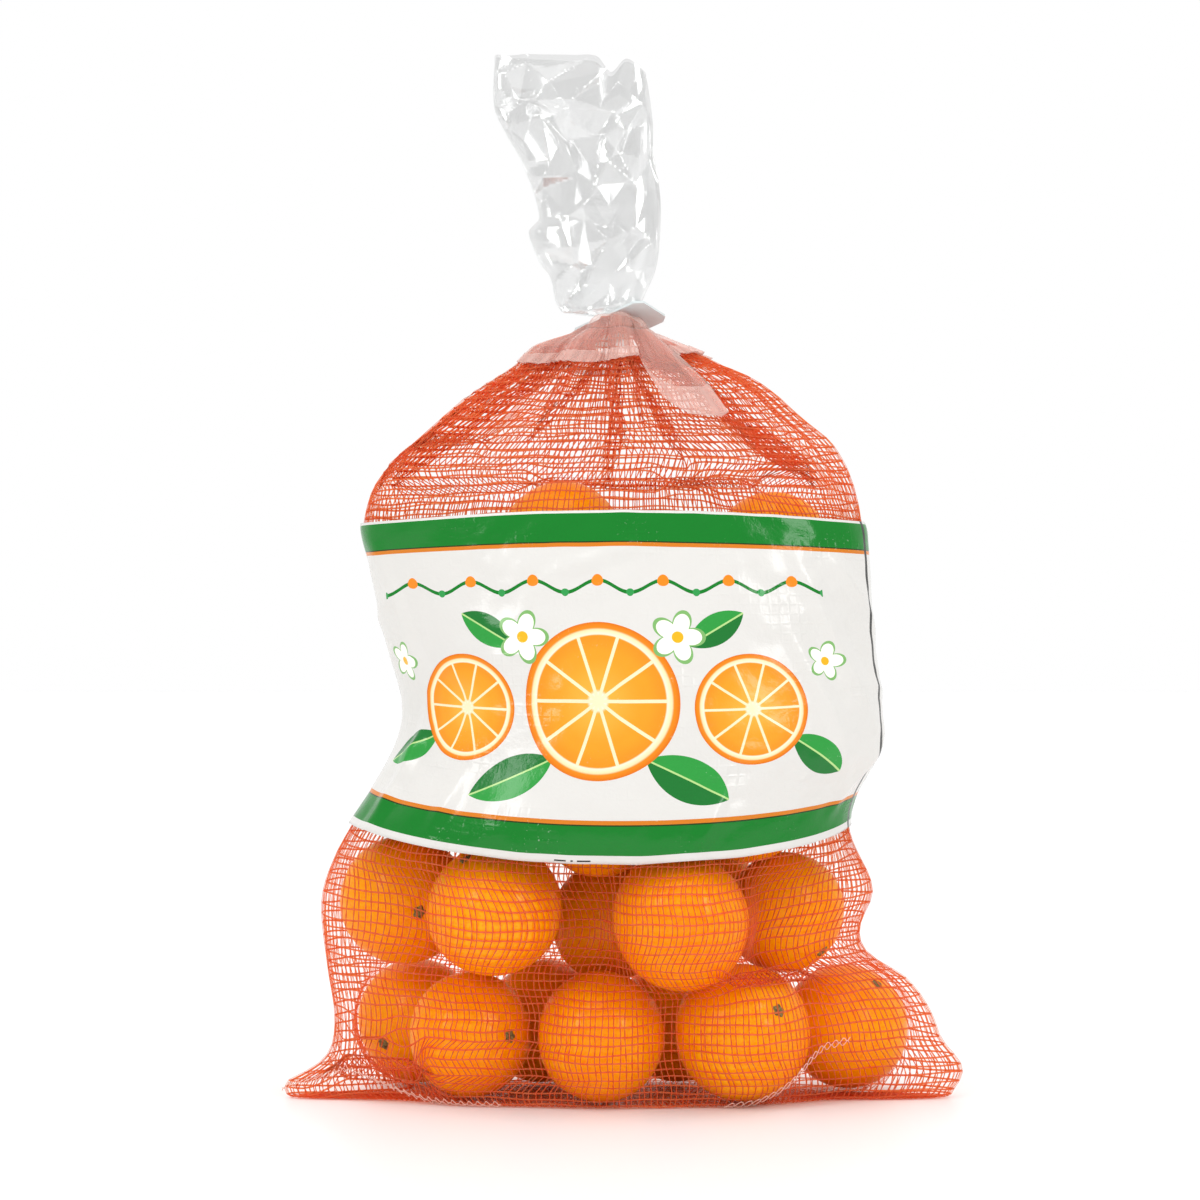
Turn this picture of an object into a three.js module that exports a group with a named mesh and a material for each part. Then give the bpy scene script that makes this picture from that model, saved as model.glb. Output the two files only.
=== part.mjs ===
// A net bag of mandarins that stands on a shop shelf: a woven net full of fruit, a printed film band round
// its middle, a clear film top that is gathered and drawn through a flat plastic clip, and the film's skirt
// over the shoulders of the net. Millimetres, +Z up, +X to the right of the printed front, which faces -Y.
// The origin is in the middle of the base, on the floor.
import * as THREE from "three";
import { mergeVertices } from "three/addons/utils/BufferGeometryUtils.js";

// Driving dimensions
const BAND_LOW = 100; // lower edge of the band in the middle of the front
const BAND_HIGH = 237; // upper edge of the band
const BAND_LOW_RISE = 11; // how much higher the lower edge is at the side seams
const BAND_HIGH_DROP = 4; // how much lower the upper edge is at the side seams
const BAND_THICKNESS = 1;
const CREST = 305.5; // mean height of the shoulders round the neck
const CREST_TILT = 5.5; // the front shoulder is that much higher, and the back one lower
const NECK_Z = 303; // where the gathered film leaves the net
const NECK_RADIUS = 7.5;
const ROPE_RADIUS = 4.8; // the gathered film inside the clip
const FILM_TOP = 423;
const SKIRT_THICKNESS = 0.8;
const GAP = 1.3; // between two pieces that lie on each other
const NET_ON_FRUIT = 0.8; // the net's own thickness over a fruit
const BRIDGE = 8; // over hollows much wider than this the net sags back to its slack shape
const CLIP = { length: 34.6, depth: 22, thickness: 1.1, chamfer: 3, hole: 6.6, slot: 4.2, z: 313.7 };
const FOLDS = 11; // folds that run up to the neck

// Resolution of the faceted surfaces
const COLUMNS = 84;
const ROWS_BELOW_BAND = 16;
const ROWS_ON_BAND = 10;
const ROWS_ON_DOME = 12;
const ROWS_INTO_NECK = 3;
const SKIRT_FROM_ROW = 9; // counted from the band's upper edge
const FILM_COLUMNS = 40;

// Every mandarin: its centre and radius. The ones that show are placed from the front, the rest fill the bag.
const FRUIT = [
  // bottom layer, front then back
  { at: [-60.2, -10, 27], r: 25.4 },
  { at: [-7.4, -19, 27.2], r: 26.4 },
  { at: [49.5, -17, 28.7], r: 27.9 },
  { at: [92.9, 16, 27.1], r: 26.3 },
  { at: [-83.6, 37, 26.8], r: 26 },
  { at: [-31, 35, 26.8], r: 26 },
  { at: [24, 35, 26.8], r: 26 },
  // second layer
  { at: [-50, -27, 78.6], r: 27.5 },
  { at: [24.2, -35, 75], r: 28.1 },
  { at: [67.3, 3, 75], r: 25.2 },
  { at: [-88, 14, 79.1], r: 26.6 },
  { at: [-46, 40, 74], r: 23 },
  { at: [-4, 16, 70], r: 25 },
  { at: [38, 41, 76], r: 22.5 },
  // third layer
  { at: [-7.8, -20, 116], r: 25.2 },
  { at: [-66, -4, 126], r: 26 },
  { at: [52, -10, 122.5], r: 26.3 },
  { at: [-24, 32, 117], r: 25.5 },
  // fourth layer
  { at: [-40, -2, 171], r: 26.5 },
  { at: [14, -2, 166], r: 26 },
  { at: [67, -2, 172], r: 26 },
  // top
  { at: [-24, -3, 224], r: 26.7 },
  { at: [62, 2, 222.5], r: 24.5 },
];

// Outlines of the slack net as half widths from the axis, each a list of [height, distance]
const SIDE_RIGHT = [
  [0, 88], [27, 112], [48, 102], [60, 84], [79, 101.5], [91, 101], [108, 89.5], [118, 90.5], [127, 94.5],
  [143, 105.5], [186, 101.8], [234, 98.6], [253, 93.7], [262, 89.3], [272, 82], [281, 69], [290, 60.5],
  [299, 46.5], [306, 27], [311, 14],
];
const SIDE_LEFT = [
  [0, 92], [18, 112], [38, 115.6], [55, 118.4], [81, 120.5], [100, 114.3], [112, 106.5], [153, 84.5],
  [185, 93], [233, 103.2], [244, 102.8], [253, 100.4], [262, 93.9], [272, 82.2], [281, 71.4], [290, 57],
  [299, 41], [307, 33], [311, 20],
];
const FRONT = [
  [0, 32], [20, 26], [60, 24], [88, 28], [100, 57], [140, 54], [190, 46], [237, 35], [250, 30],
  [270, 25], [290, 20], [306, 17], [311, 15],
];
const BACK = [
  [0, 44], [20, 36], [60, 30], [88, 30], [100, 52], [140, 51], [190, 43], [237, 33], [250, 28],
  [270, 23], [290, 18], [306, 14], [311, 12],
];
const OUTLINE_TOP = 311; // the last height in the lists above, which the crest reads
// How far the bag's empty bottom corners stand out beyond its sides. They are flat fins along the side seams.
const EAR_RIGHT = [[0, 46], [11, 40], [26, 18], [48, 15], [55, 14], [60, 0]];
const EAR_LEFT = [[0, 42], [4, 39], [8, 31], [12, 16], [18, 3], [26, 0]];
const EAR_SHARPNESS = 60; // how fast a fin falls off from its seam, as a power of the cosine
// Half length of the line, along X, that the cross-sections are drawn round
const SPINE = [[0, 62], [200, 62], [237, 58], [258, 50], [271, 40], [289, 24], [300, 10], [311, 3]];

// Film above the clip: outer X on each side and half depth along Y, against height
const FILM_LEFT = [
  [303, -ROPE_RADIUS], [315.5, -ROPE_RADIUS], [318.5, -17.5], [327, -24.8], [336.5, -28.2], [341, -32.3],
  [351.5, -36.8], [357.5, -32.5], [380, -39.7], [391, -45.9], [402, -50.8], [FILM_TOP, -50.6],
];
const FILM_RIGHT = [
  [303, ROPE_RADIUS], [318, ROPE_RADIUS], [322, 9.5], [334, 14.9], [359, 17], [371, 16.2], [384, 14],
  [398, 13.7], [FILM_TOP, 10.8],
];
const FILM_DEPTH = [
  [303, ROPE_RADIUS], [318, ROPE_RADIUS], [322, 6.5], [330, 9], [360, 12], [400, 12], [FILM_TOP, 9],
];
const FILM_HEIGHTS = [
  303.5, 308, 313, 316, 319, 324, 331, 338, 345, 352, 357, 364, 371, 379, 388, 396, 404, 412, FILM_TOP,
];
// Height of the cut edge against X: it has a notch where the film is folded over
const FILM_CUT = [[-50.6, 423], [-18, 422], [-9, 421.5], [-3.5, 415.6], [2.8, 421], [10.8, 416]];

// A smooth curve through [position, value] points, a cubic between each two with the slope of its neighbours
function through(points, at) {
  const last = points.length - 1;
  if (at <= points[0][0]) return points[0][1];
  if (at >= points[last][0]) return points[last][1];
  let k = 0;
  while (at > points[k + 1][0]) k++;
  const slope = (i) => {
    const low = points[Math.max(i - 1, 0)];
    const high = points[Math.min(i + 1, last)];
    return (high[1] - low[1]) / (high[0] - low[0]);
  };
  const step = points[k + 1][0] - points[k][0];
  const t = (at - points[k][0]) / step;
  const rise = 3 * t * t - 2 * t * t * t;
  const bends = step * (slope(k) * t * (1 - t) * (1 - t) - slope(k + 1) * t * t * (1 - t));
  return points[k][1] * (1 - rise) + points[k + 1][1] * rise + bends;
}

// Angles that step evenly along an ellipse as wide and deep as the bag
function evenAngles(count, halfWidth = 112, halfDepth = 56, fine = 3600) {
  const lengths = [0];
  for (let i = 1; i <= fine; i++) {
    const middle = ((i - 0.5) / fine) * 2 * Math.PI;
    const speed = Math.hypot(halfWidth * Math.sin(middle), halfDepth * Math.cos(middle));
    lengths.push(lengths[i - 1] + speed);
  }
  const angles = [];
  let i = 0;
  for (let j = 0; j < count; j++) {
    const goal = (j / count) * lengths[fine];
    while (lengths[i + 1] < goal) i++;
    angles.push(((i + (goal - lengths[i]) / (lengths[i + 1] - lengths[i])) / fine) * 2 * Math.PI);
  }
  return angles;
}

const bandLow = (angle) => BAND_LOW + BAND_LOW_RISE * Math.cos(angle) ** 2;
const bandHigh = (angle) => BAND_HIGH - BAND_HIGH_DROP * Math.cos(angle) ** 2;
const crest = (angle) => CREST - CREST_TILT * Math.sin(angle);

// Distance of the slack net from the spine in one direction, at a height of the outlines
function slack(angle, height) {
  const side = Math.cos(angle) ** 2;
  const spine = through(SPINE, height);
  const width = through(Math.cos(angle) > 0 ? SIDE_RIGHT : SIDE_LEFT, height);
  const depth = through(Math.sin(angle) < 0 ? FRONT : BACK, height);
  const ear = through(Math.cos(angle) > 0 ? EAR_RIGHT : EAR_LEFT, height);
  return depth * (1 - side) + (width - spine) * side + ear * Math.abs(Math.cos(angle)) ** EAR_SHARPNESS;
}

// Distance from the spine at which a ray at this angle and height leaves the last fruit that it meets, or 0
function fruitReach(angle, height) {
  const spine = through(SPINE, height) * Math.cos(angle);
  let reach = 0;
  for (const { at, r } of FRUIT) {
    const round = (r + NET_ON_FRUIT) ** 2 - (height - at[2]) ** 2;
    if (round <= 0) continue;
    const along = (at[0] - spine) * Math.cos(angle) + at[1] * Math.sin(angle);
    const inside = along ** 2 - (at[0] - spine) ** 2 - at[1] ** 2 + round;
    if (inside > 0) reach = Math.max(reach, along + Math.sqrt(inside));
  }
  return reach;
}

// The net's surface as rows of points, from the floor to the neck. The net is a membrane stretched over the
// fruit and its own slack shape: a point lies between its neighbours, pulled in a little, unless pushed out.
function netRows() {
  const angles = evenAngles(COLUMNS);
  const heights = [];
  const outlines = []; // the height at which a row reads the outlines
  const add = (count, from, to, ease) => {
    for (let i = 0; i < count; i++) {
      const share = ease(i / count);
      heights.push(angles.map((a) => from(a) + (to(a) - from(a)) * share));
      const low = from(Math.PI / 2);
      const high = to === crest ? OUTLINE_TOP : to(Math.PI / 2);
      outlines.push(angles.map((a, j) => (to === crest ? low + (high - low) * share : heights.at(-1)[j])));
    }
  };
  add(ROWS_BELOW_BAND, () => 0, bandLow, (t) => t);
  add(ROWS_ON_BAND, bandLow, bandHigh, (t) => t);
  add(ROWS_ON_DOME, bandHigh, crest, (t) => 1 - (1 - t) ** 1.5);
  heights.push(angles.map(crest));
  outlines.push(angles.map(() => OUTLINE_TOP));

  const least = heights.map((row, i) =>
    row.map((z, j) => Math.max(fruitReach(angles[j], z), slack(angles[j], outlines[i][j]))),
  );
  const reach = least.map((row) => [...row]);
  const cell = BAND_LOW / ROWS_BELOW_BAND;
  const pull = 1 / (1 + 4 * (BRIDGE / cell) ** 2);
  for (let turn = 0; turn < 200; turn++) {
    for (let i = 1; i < reach.length - 1; i++) {
      for (let j = 0; j < COLUMNS; j++) {
        const left = reach[i][(j + COLUMNS - 1) % COLUMNS];
        const right = reach[i][(j + 1) % COLUMNS];
        const middle = (left + right + reach[i - 1][j] + reach[i + 1][j]) / 4;
        reach[i][j] = Math.max(least[i][j], middle + (least[i][j] - middle) * pull);
      }
    }
  }
  const rows = reach.map((row, i) =>
    row.map((h, j) => {
      const climb = Math.max(outlines[i][j] - BAND_HIGH, 0) / (OUTLINE_TOP - BAND_HIGH);
      const fold = 1 + 0.13 * climb * Math.cos(FOLDS * angles[j] + 2 * Math.sin(angles[j]));
      const spine = through(SPINE, outlines[i][j]);
      return new THREE.Vector3(
        (spine + h * fold) * Math.cos(angles[j]),
        h * fold * Math.sin(angles[j]),
        heights[i][j],
      );
    }),
  );
  const top = rows.at(-1);
  for (let i = 1; i <= ROWS_INTO_NECK; i++) {
    const t = i / ROWS_INTO_NECK;
    rows.push(
      top.map((p, j) => {
        const ring = new THREE.Vector3(
          NECK_RADIUS * Math.cos(angles[j]),
          NECK_RADIUS * Math.sin(angles[j]),
          NECK_Z,
        );
        return ring.lerp(p, 1 - t).setZ(p.z + (NECK_Z - p.z) * t * t);
      }),
    );
  }
  return rows;
}

// Outward normals of a surface made of closed rows of points
function rowNormals(rows) {
  return rows.map((row, i) =>
    row.map((_, j) => {
      const count = row.length;
      const around = new THREE.Vector3().subVectors(row[(j + 1) % count], row[(j + count - 1) % count]);
      const up = new THREE.Vector3().subVectors(
        rows[Math.min(i + 1, rows.length - 1)][j],
        rows[Math.max(i - 1, 0)][j],
      );
      return around.cross(up).normalize();
    }),
  );
}

// The same surface moved out along its normals
function offsetRows(rows, normals, distance) {
  return rows.map((row, i) => row.map((p, j) => p.clone().addScaledVector(normals[i][j], distance)));
}

// Triangles between two closed rows of points, facing out when the second row is above the first
function addBelt(triangles, lower, upper) {
  lower.forEach((p, j) => {
    const next = (j + 1) % lower.length;
    triangles.push(p, lower[next], upper[next], p, upper[next], upper[j]);
  });
}

function geometryOf(triangles) {
  const raw = new THREE.BufferGeometry().setFromPoints(triangles);
  const merged = mergeVertices(raw, 1e-4);
  merged.computeVertexNormals();
  return merged;
}

// A solid between rows of points, closed by a fan at each end
function solidOfRows(rows) {
  const triangles = [];
  for (let i = 0; i + 1 < rows.length; i++) addBelt(triangles, rows[i], rows[i + 1]);
  const close = (row, upwards) => {
    const centre = row.reduce((sum, p) => sum.add(p), new THREE.Vector3()).divideScalar(row.length);
    row.forEach((p, j) => {
      const next = row[(j + 1) % row.length];
      triangles.push(centre, ...(upwards ? [p, next] : [next, p]));
    });
  };
  close(rows[0], false);
  close(rows.at(-1), true);
  return geometryOf(triangles);
}

// A shell between an inner and an outer surface, joined along both rims
function shellOfRows(inner, outer) {
  const triangles = [];
  for (let i = 0; i + 1 < outer.length; i++) {
    addBelt(triangles, outer[i], outer[i + 1]);
    addBelt(triangles, inner[i + 1], inner[i]);
  }
  addBelt(triangles, inner[0], outer[0]);
  addBelt(triangles, outer.at(-1), inner.at(-1));
  return geometryOf(triangles);
}

// The gathered film: round where the clip holds it, a flat pleated fan above
function filmGeometry() {
  const rows = FILM_HEIGHTS.map((z) => {
    const left = through(FILM_LEFT, z);
    const right = through(FILM_RIGHT, z);
    const depth = through(FILM_DEPTH, z);
    const open = Math.min(Math.max((z - 320) / 60, 0), 1);
    return Array.from({ length: FILM_COLUMNS }, (_, j) => {
      const angle = (j / FILM_COLUMNS) * 2 * Math.PI;
      const pleat = 1 + 0.2 * open * Math.cos(9 * angle + 0.03 * z);
      const x = (left + right) / 2 + ((right - left) / 2) * Math.cos(angle) * (1 + 0.03 * (pleat - 1));
      return new THREE.Vector3(x, depth * Math.sin(angle) * pleat, z === FILM_TOP ? through(FILM_CUT, x) : z);
    });
  });
  return solidOfRows(rows);
}

// The flat clip with its keyhole, lying in its own plane
function clipGeometry() {
  const { length, depth, thickness, chamfer, hole, slot } = CLIP;
  const x = length / 2;
  const y = depth / 2;
  const mouth = Math.asin(slot / 2 / hole);
  const shape = new THREE.Shape();
  shape.moveTo(-x + chamfer, -y);
  shape.lineTo(x - chamfer, -y);
  shape.lineTo(x, -y + chamfer);
  shape.lineTo(x, y - chamfer);
  shape.lineTo(x - chamfer, y);
  shape.lineTo(slot / 2 + 1.5, y);
  shape.lineTo(slot / 2, y - 1.5);
  shape.absarc(0, 0, hole, Math.PI / 2 - mouth, Math.PI / 2 + mouth, true);
  shape.lineTo(-slot / 2, y - 1.5);
  shape.lineTo(-slot / 2 - 1.5, y);
  shape.lineTo(-x + chamfer, y);
  shape.lineTo(-x, y - chamfer);
  shape.lineTo(-x, -y + chamfer);
  const geometry = new THREE.ExtrudeGeometry(shape, {
    depth: thickness,
    bevelEnabled: false,
    curveSegments: 14,
  });
  return geometry.translate(0, 0, -thickness / 2);
}

const bag = new THREE.Group();
bag.name = "net_of_mandarins";

function addPiece(name, geometry, material) {
  const mesh = new THREE.Mesh(geometry, new THREE.MeshStandardMaterial(material));
  mesh.name = name;
  bag.add(mesh);
  return mesh;
}

const rows = netRows();
const normals = rowNormals(rows);
addPiece("net_bag", solidOfRows(rows), { color: 0xf0622f, roughness: 0.6, metalness: 0 });

const bandRows = rows.slice(ROWS_BELOW_BAND, ROWS_BELOW_BAND + ROWS_ON_BAND + 1);
const bandNormals = normals.slice(ROWS_BELOW_BAND, ROWS_BELOW_BAND + ROWS_ON_BAND + 1);
addPiece(
  "label_band",
  shellOfRows(
    offsetRows(bandRows, bandNormals, GAP),
    offsetRows(bandRows, bandNormals, GAP + BAND_THICKNESS),
  ),
  { color: 0xf0efec, roughness: 0.35, metalness: 0 },
);

const skirtStart = ROWS_BELOW_BAND + ROWS_ON_BAND + SKIRT_FROM_ROW;
const skirtEnd = ROWS_BELOW_BAND + ROWS_ON_BAND + ROWS_ON_DOME + 1;
const skirtRows = rows.slice(skirtStart, skirtEnd);
const skirtNormals = normals.slice(skirtStart, skirtEnd);
addPiece(
  "film_skirt",
  shellOfRows(
    offsetRows(skirtRows, skirtNormals, GAP),
    offsetRows(skirtRows, skirtNormals, GAP + SKIRT_THICKNESS),
  ),
  { color: 0xf6d2c8, roughness: 0.2, metalness: 0 },
);

addPiece("neck_film", filmGeometry(), { color: 0xe4e4e4, roughness: 0.15, metalness: 0 });

// The clip's long and short directions, as it hangs on the neck: right end up and forward, back edge down
const along = new THREE.Vector3(14.2, -7.9, 5.9).normalize();
const across = new THREE.Vector3(6.1, 8.65, -3.05);
across.addScaledVector(along, -across.dot(along)).normalize();
const face = new THREE.Vector3().crossVectors(along, across);
const clip = addPiece("closure_clip", clipGeometry(), { color: 0xe9e9e9, roughness: 0.4, metalness: 0 });
clip.quaternion.setFromRotationMatrix(new THREE.Matrix4().makeBasis(along, across, face));
clip.position.set(0, 0, CLIP.z);

export default bag;
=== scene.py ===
# A net bag of mandarins as it stands on a shop shelf. A tube of woven plastic net is sewn shut at its foot,
# filled with fruit, wrapped with a printed film band, and gathered at the top with the end of a clear film
# bag, which a flat plastic clip holds. The fruit carries the whole: net and films follow its shape.
import math

import bpy
import numpy as np
from mathutils import Matrix, Vector
from mathutils.geometry import delaunay_2d_cdt


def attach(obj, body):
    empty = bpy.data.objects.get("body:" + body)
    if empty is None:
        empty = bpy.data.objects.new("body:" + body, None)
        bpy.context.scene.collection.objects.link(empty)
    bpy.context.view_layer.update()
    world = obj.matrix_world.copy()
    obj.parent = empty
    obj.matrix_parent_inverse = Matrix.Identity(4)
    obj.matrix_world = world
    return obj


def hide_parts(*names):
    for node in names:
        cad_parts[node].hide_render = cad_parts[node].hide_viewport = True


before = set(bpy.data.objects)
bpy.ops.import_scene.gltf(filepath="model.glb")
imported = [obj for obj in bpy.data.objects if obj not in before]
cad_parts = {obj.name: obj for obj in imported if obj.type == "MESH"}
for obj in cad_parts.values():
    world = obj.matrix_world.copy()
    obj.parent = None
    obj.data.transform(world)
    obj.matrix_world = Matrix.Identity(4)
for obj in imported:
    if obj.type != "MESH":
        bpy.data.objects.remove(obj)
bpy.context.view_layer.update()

# Mandarins
# Loose-skinned citrus fruit, a little flattened from stem to base, picked ripe, washed and waxed.
# They fill the bag in layers, each fruit lying in the hollow between those below it.
MM = 0.001

# centre, radius and, for the fruit whose stem end shows from the front, the way that the stem points
FRUIT = [
    ((-60.2, -10, 27), 25.4, (0.71, -0.70, 0.05)),
    ((-7.4, -19, 27.2), 26.4, None),
    ((49.5, -17, 28.7), 27.9, (0.52, -0.74, 0.43)),
    ((92.9, 16, 27.1), 26.3, (0.52, -0.38, 0.76)),
    ((-83.6, 37, 26.8), 26, (-0.56, -0.77, -0.31)),
    ((-31, 35, 26.8), 26, None),
    ((24, 35, 26.8), 26, None),
    ((-50, -27, 78.6), 27.5, None),
    ((24.2, -35, 75), 28.1, None),
    ((67.3, 3, 75), 25.2, (0.64, -0.40, -0.66)),
    ((-88, 14, 79.1), 26.6, (0.30, -0.94, -0.12)),
    ((-46, 40, 74), 23, None),
    ((-4, 16, 70), 25, None),
    ((38, 41, 76), 22.5, None),
    ((-7.8, -20, 116), 25.2, None),
    ((-66, -4, 126), 26, None),
    ((52, -10, 122.5), 26.3, None),
    ((-24, 32, 117), 25.5, None),
    ((-40, -2, 171), 26.5, None),
    ((14, -2, 166), 26, None),
    ((67, -2, 172), 26, None),
    ((-24, -3, 224), 26.7, None),
    ((62, 2, 222.5), 24.5, None),
]
FRUIT_RINGS = 44
FRUIT_SPOKES = 72
FLATTENED = 0.95  # height of a fruit over its width
# hollows at both ends, and furrows round the stem: depths as shares of the radius, places and widths in
# radians from the end
STEM_HOLLOW, STEM_HOLLOW_WIDTH = 0.035, 0.17
BASE_HOLLOW, BASE_HOLLOW_WIDTH = 0.02, 0.3
FURROWS, FURROW_DEPTH, FURROW_PLACE, FURROW_WIDTH = 9, 0.006, 0.35, 0.22
LUMPS = 0.007, 0.006
GOLDEN_TURN = 2.39996  # radians; directions that step by it never line up


def colour(code):
    """Linear red, green, blue and alpha of an sRGB hex value: each channel by the sRGB curve."""
    shares = [int(code[i:i + 2], 16) / 255 for i in (1, 3, 5)]
    return [c / 12.92 if c <= 0.04045 else ((c + 0.055) / 1.055) ** 2.4 for c in shares] + [1]


def material_tree(name):
    """A new node material, its node tree with the nodes cleared, and its output node."""
    material = bpy.data.materials.new(name)
    material.use_nodes = True
    material.node_tree.nodes.clear()
    output = material.node_tree.nodes.new("ShaderNodeOutputMaterial")
    return material, material.node_tree, output


def add(tree, kind, inputs=None, **settings):
    """Adds a node of one kind with its settings. An input is a value, a node, of which the first output is
    linked, or another node's output."""
    node = tree.nodes.new(kind)
    for name, value in settings.items():
        setattr(node, name, value)
    for name, value in (inputs or {}).items():
        if isinstance(value, bpy.types.Node):
            tree.links.new(value.outputs[0], node.inputs[name])
        elif isinstance(value, bpy.types.NodeSocket):
            tree.links.new(value, node.inputs[name])
        else:
            node.inputs[name].default_value = value
    return node


def make_piece(name, points, faces, material, smooth=True):
    """A mesh object at the origin from points in millimetres and faces as rows of point numbers."""
    mesh = bpy.data.meshes.new(name)
    corners = faces.shape[1]
    mesh.vertices.add(len(points))
    mesh.vertices.foreach_set("co", np.ascontiguousarray(points * MM, dtype=np.float32).ravel())
    mesh.loops.add(faces.size)
    mesh.loops.foreach_set("vertex_index", np.ascontiguousarray(faces, dtype=np.int32).ravel())
    mesh.polygons.add(len(faces))
    mesh.polygons.foreach_set("loop_start", np.arange(0, faces.size, corners, dtype=np.int32))
    mesh.update(calc_edges=True)
    mesh.validate()
    mesh.polygons.foreach_set("use_smooth", np.full(len(mesh.polygons), smooth))
    piece = bpy.data.objects.new(name, mesh)
    bpy.context.scene.collection.objects.link(piece)
    mesh.materials.append(material)
    return piece


def frames_towards(axes):
    """For each direction, three unit vectors at right angles as columns: two across it, and itself last."""
    axes = axes / np.linalg.norm(axes, axis=-1, keepdims=True)
    helper = np.where(np.abs(axes[:, 2:]) < 0.9, [[0.0, 0.0, 1.0]], [[1.0, 0.0, 0.0]])
    first = np.cross(helper, axes)
    first /= np.linalg.norm(first, axis=-1, keepdims=True)
    return np.stack([first, np.cross(axes, first), axes], axis=-1)


def fruit_points(directions, number):
    """Distance from the centre, as a share of the radius, along directions in the fruit's own frame, whose
    last axis is the stem's: a flattened sphere, less a bell-shaped hollow at each end, with furrows from a
    cosine round the stem, and low lumps from sines of the direction, different for each fruit."""
    x, y, z = directions[..., 0], directions[..., 1], directions[..., 2]
    squash = 1 / np.sqrt(x**2 + y**2 + (z / FLATTENED) ** 2)
    from_stem = np.arccos(np.clip(z, -1, 1))
    around = np.arctan2(y, x)
    hollows = STEM_HOLLOW * np.exp(-(from_stem / STEM_HOLLOW_WIDTH) ** 2)
    hollows = hollows + BASE_HOLLOW * np.exp(-((math.pi - from_stem) / BASE_HOLLOW_WIDTH) ** 2)
    furrows = FURROW_DEPTH * np.cos(FURROWS * around + number)
    furrows = furrows * np.exp(-(((from_stem - FURROW_PLACE) / FURROW_WIDTH) ** 2))
    lumps = LUMPS[0] * np.sin(3.1 * x + 1.7 * number) + LUMPS[1] * np.sin(4.3 * y + 2.9 * z + 2.3 * number)
    return squash - hollows + furrows + lumps - 0.01


def ring_faces(rings, spokes):
    """Triangles between equal rings of points. The points of the rings are followed by one that closes the
    first ring and one that closes the last."""
    spoke = np.arange(spokes)
    after = (spoke + 1) % spokes
    belts = np.arange(rings - 1)[:, None] * spokes
    quads = np.stack([belts + spoke, belts + spokes + spoke, belts + spokes + after, belts + after], -1)
    quads = quads.reshape(-1, 4)
    last_ring = (rings - 1) * spokes
    head = np.stack([0 * spoke + rings * spokes, spoke, after], -1)
    foot = np.stack([0 * spoke + rings * spokes + 1, last_ring + after, last_ring + spoke], -1)
    return np.vstack([quads[:, [0, 1, 2]], quads[:, [0, 2, 3]], head, foot])


centres = np.array([at for at, _, _ in FRUIT], float)
radii = np.array([r for _, r, _ in FRUIT], float)
numbers = np.arange(len(FRUIT))
stems = np.stack(
    [
        np.cos(GOLDEN_TURN * numbers) * 0.8,
        0.25 + 0.6 * np.sin(GOLDEN_TURN * numbers),
        0.9 * np.cos(1.7 * numbers),
    ],
    axis=-1,
)
for n, (_, _, stem) in enumerate(FRUIT):
    if stem is not None:
        stems[n] = stem
fruit_frames = frames_towards(stems)

# The grid of a fruit is a ball's: rings from the stem to the base, with one point at each end
polar = np.linspace(0, math.pi, FRUIT_RINGS + 1)[1:-1]
spoke = np.arange(FRUIT_SPOKES) * 2 * math.pi / FRUIT_SPOKES
ball = np.stack(
    [
        np.outer(np.sin(polar), np.cos(spoke)),
        np.outer(np.sin(polar), np.sin(spoke)),
        np.outer(np.cos(polar), np.ones(FRUIT_SPOKES)),
    ],
    axis=-1,
).reshape(-1, 3)
ball = np.vstack([ball, [[0, 0, 1]], [[0, 0, -1]]])


def on_each_fruit(shape_of, faces):
    """Points and faces of one shape repeated on every fruit. The shape is a function of the fruit's number,
    in the fruit's own frame, and is turned by that frame and moved to its centre."""
    shapes = [shape_of(n) @ fruit_frames[n].T + centres[n] for n in numbers]
    faces = faces[None] + numbers[:, None, None] * len(shapes[0])
    return np.vstack(shapes), faces.reshape(-1, 3)


points, faces = on_each_fruit(
    lambda n: ball * (fruit_points(ball, n) * radii[n])[:, None], ring_faces(FRUIT_RINGS - 1, FRUIT_SPOKES)
)


def set_stops(ramp, stops):
    """Gives the node of a colour ramp its stops, as pairs of a position and an sRGB hex value."""
    while len(ramp.color_ramp.elements) < len(stops):
        ramp.color_ramp.elements.new(0.5)
    for element, (position, shade) in zip(ramp.color_ramp.elements, stops):
        element.position = position
        element.color = colour(shade)


# Waxed citrus peel: oil glands about a millimetre apart give it fine pits, which break up its satin gloss,
# and its orange drifts a little towards yellow and towards red over each fruit.
GLAND_SPACING = 1.3  # mm; real ones lie 0.8 mm apart, drawn a little coarser so that they show
peel, tree, output = material_tree("waxed_mandarin_peel")
place = add(tree, "ShaderNodeTexCoord").outputs["Object"]
drift = add(tree, "ShaderNodeTexNoise", {"Vector": place, "Scale": 28, "Detail": 3, "Roughness": 0.6})
tint = add(tree, "ShaderNodeValToRGB", {"Fac": drift})
set_stops(tint, [(0.3, "#ffa600"), (0.7, "#ffba00")])
glands = add(
    tree, "ShaderNodeTexVoronoi", {"Vector": place, "Scale": 1 / (GLAND_SPACING * MM)}, feature="SMOOTH_F1"
)
pits = add(tree, "ShaderNodeMapRange", {"Value": glands, "From Max": 0.45})
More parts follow.
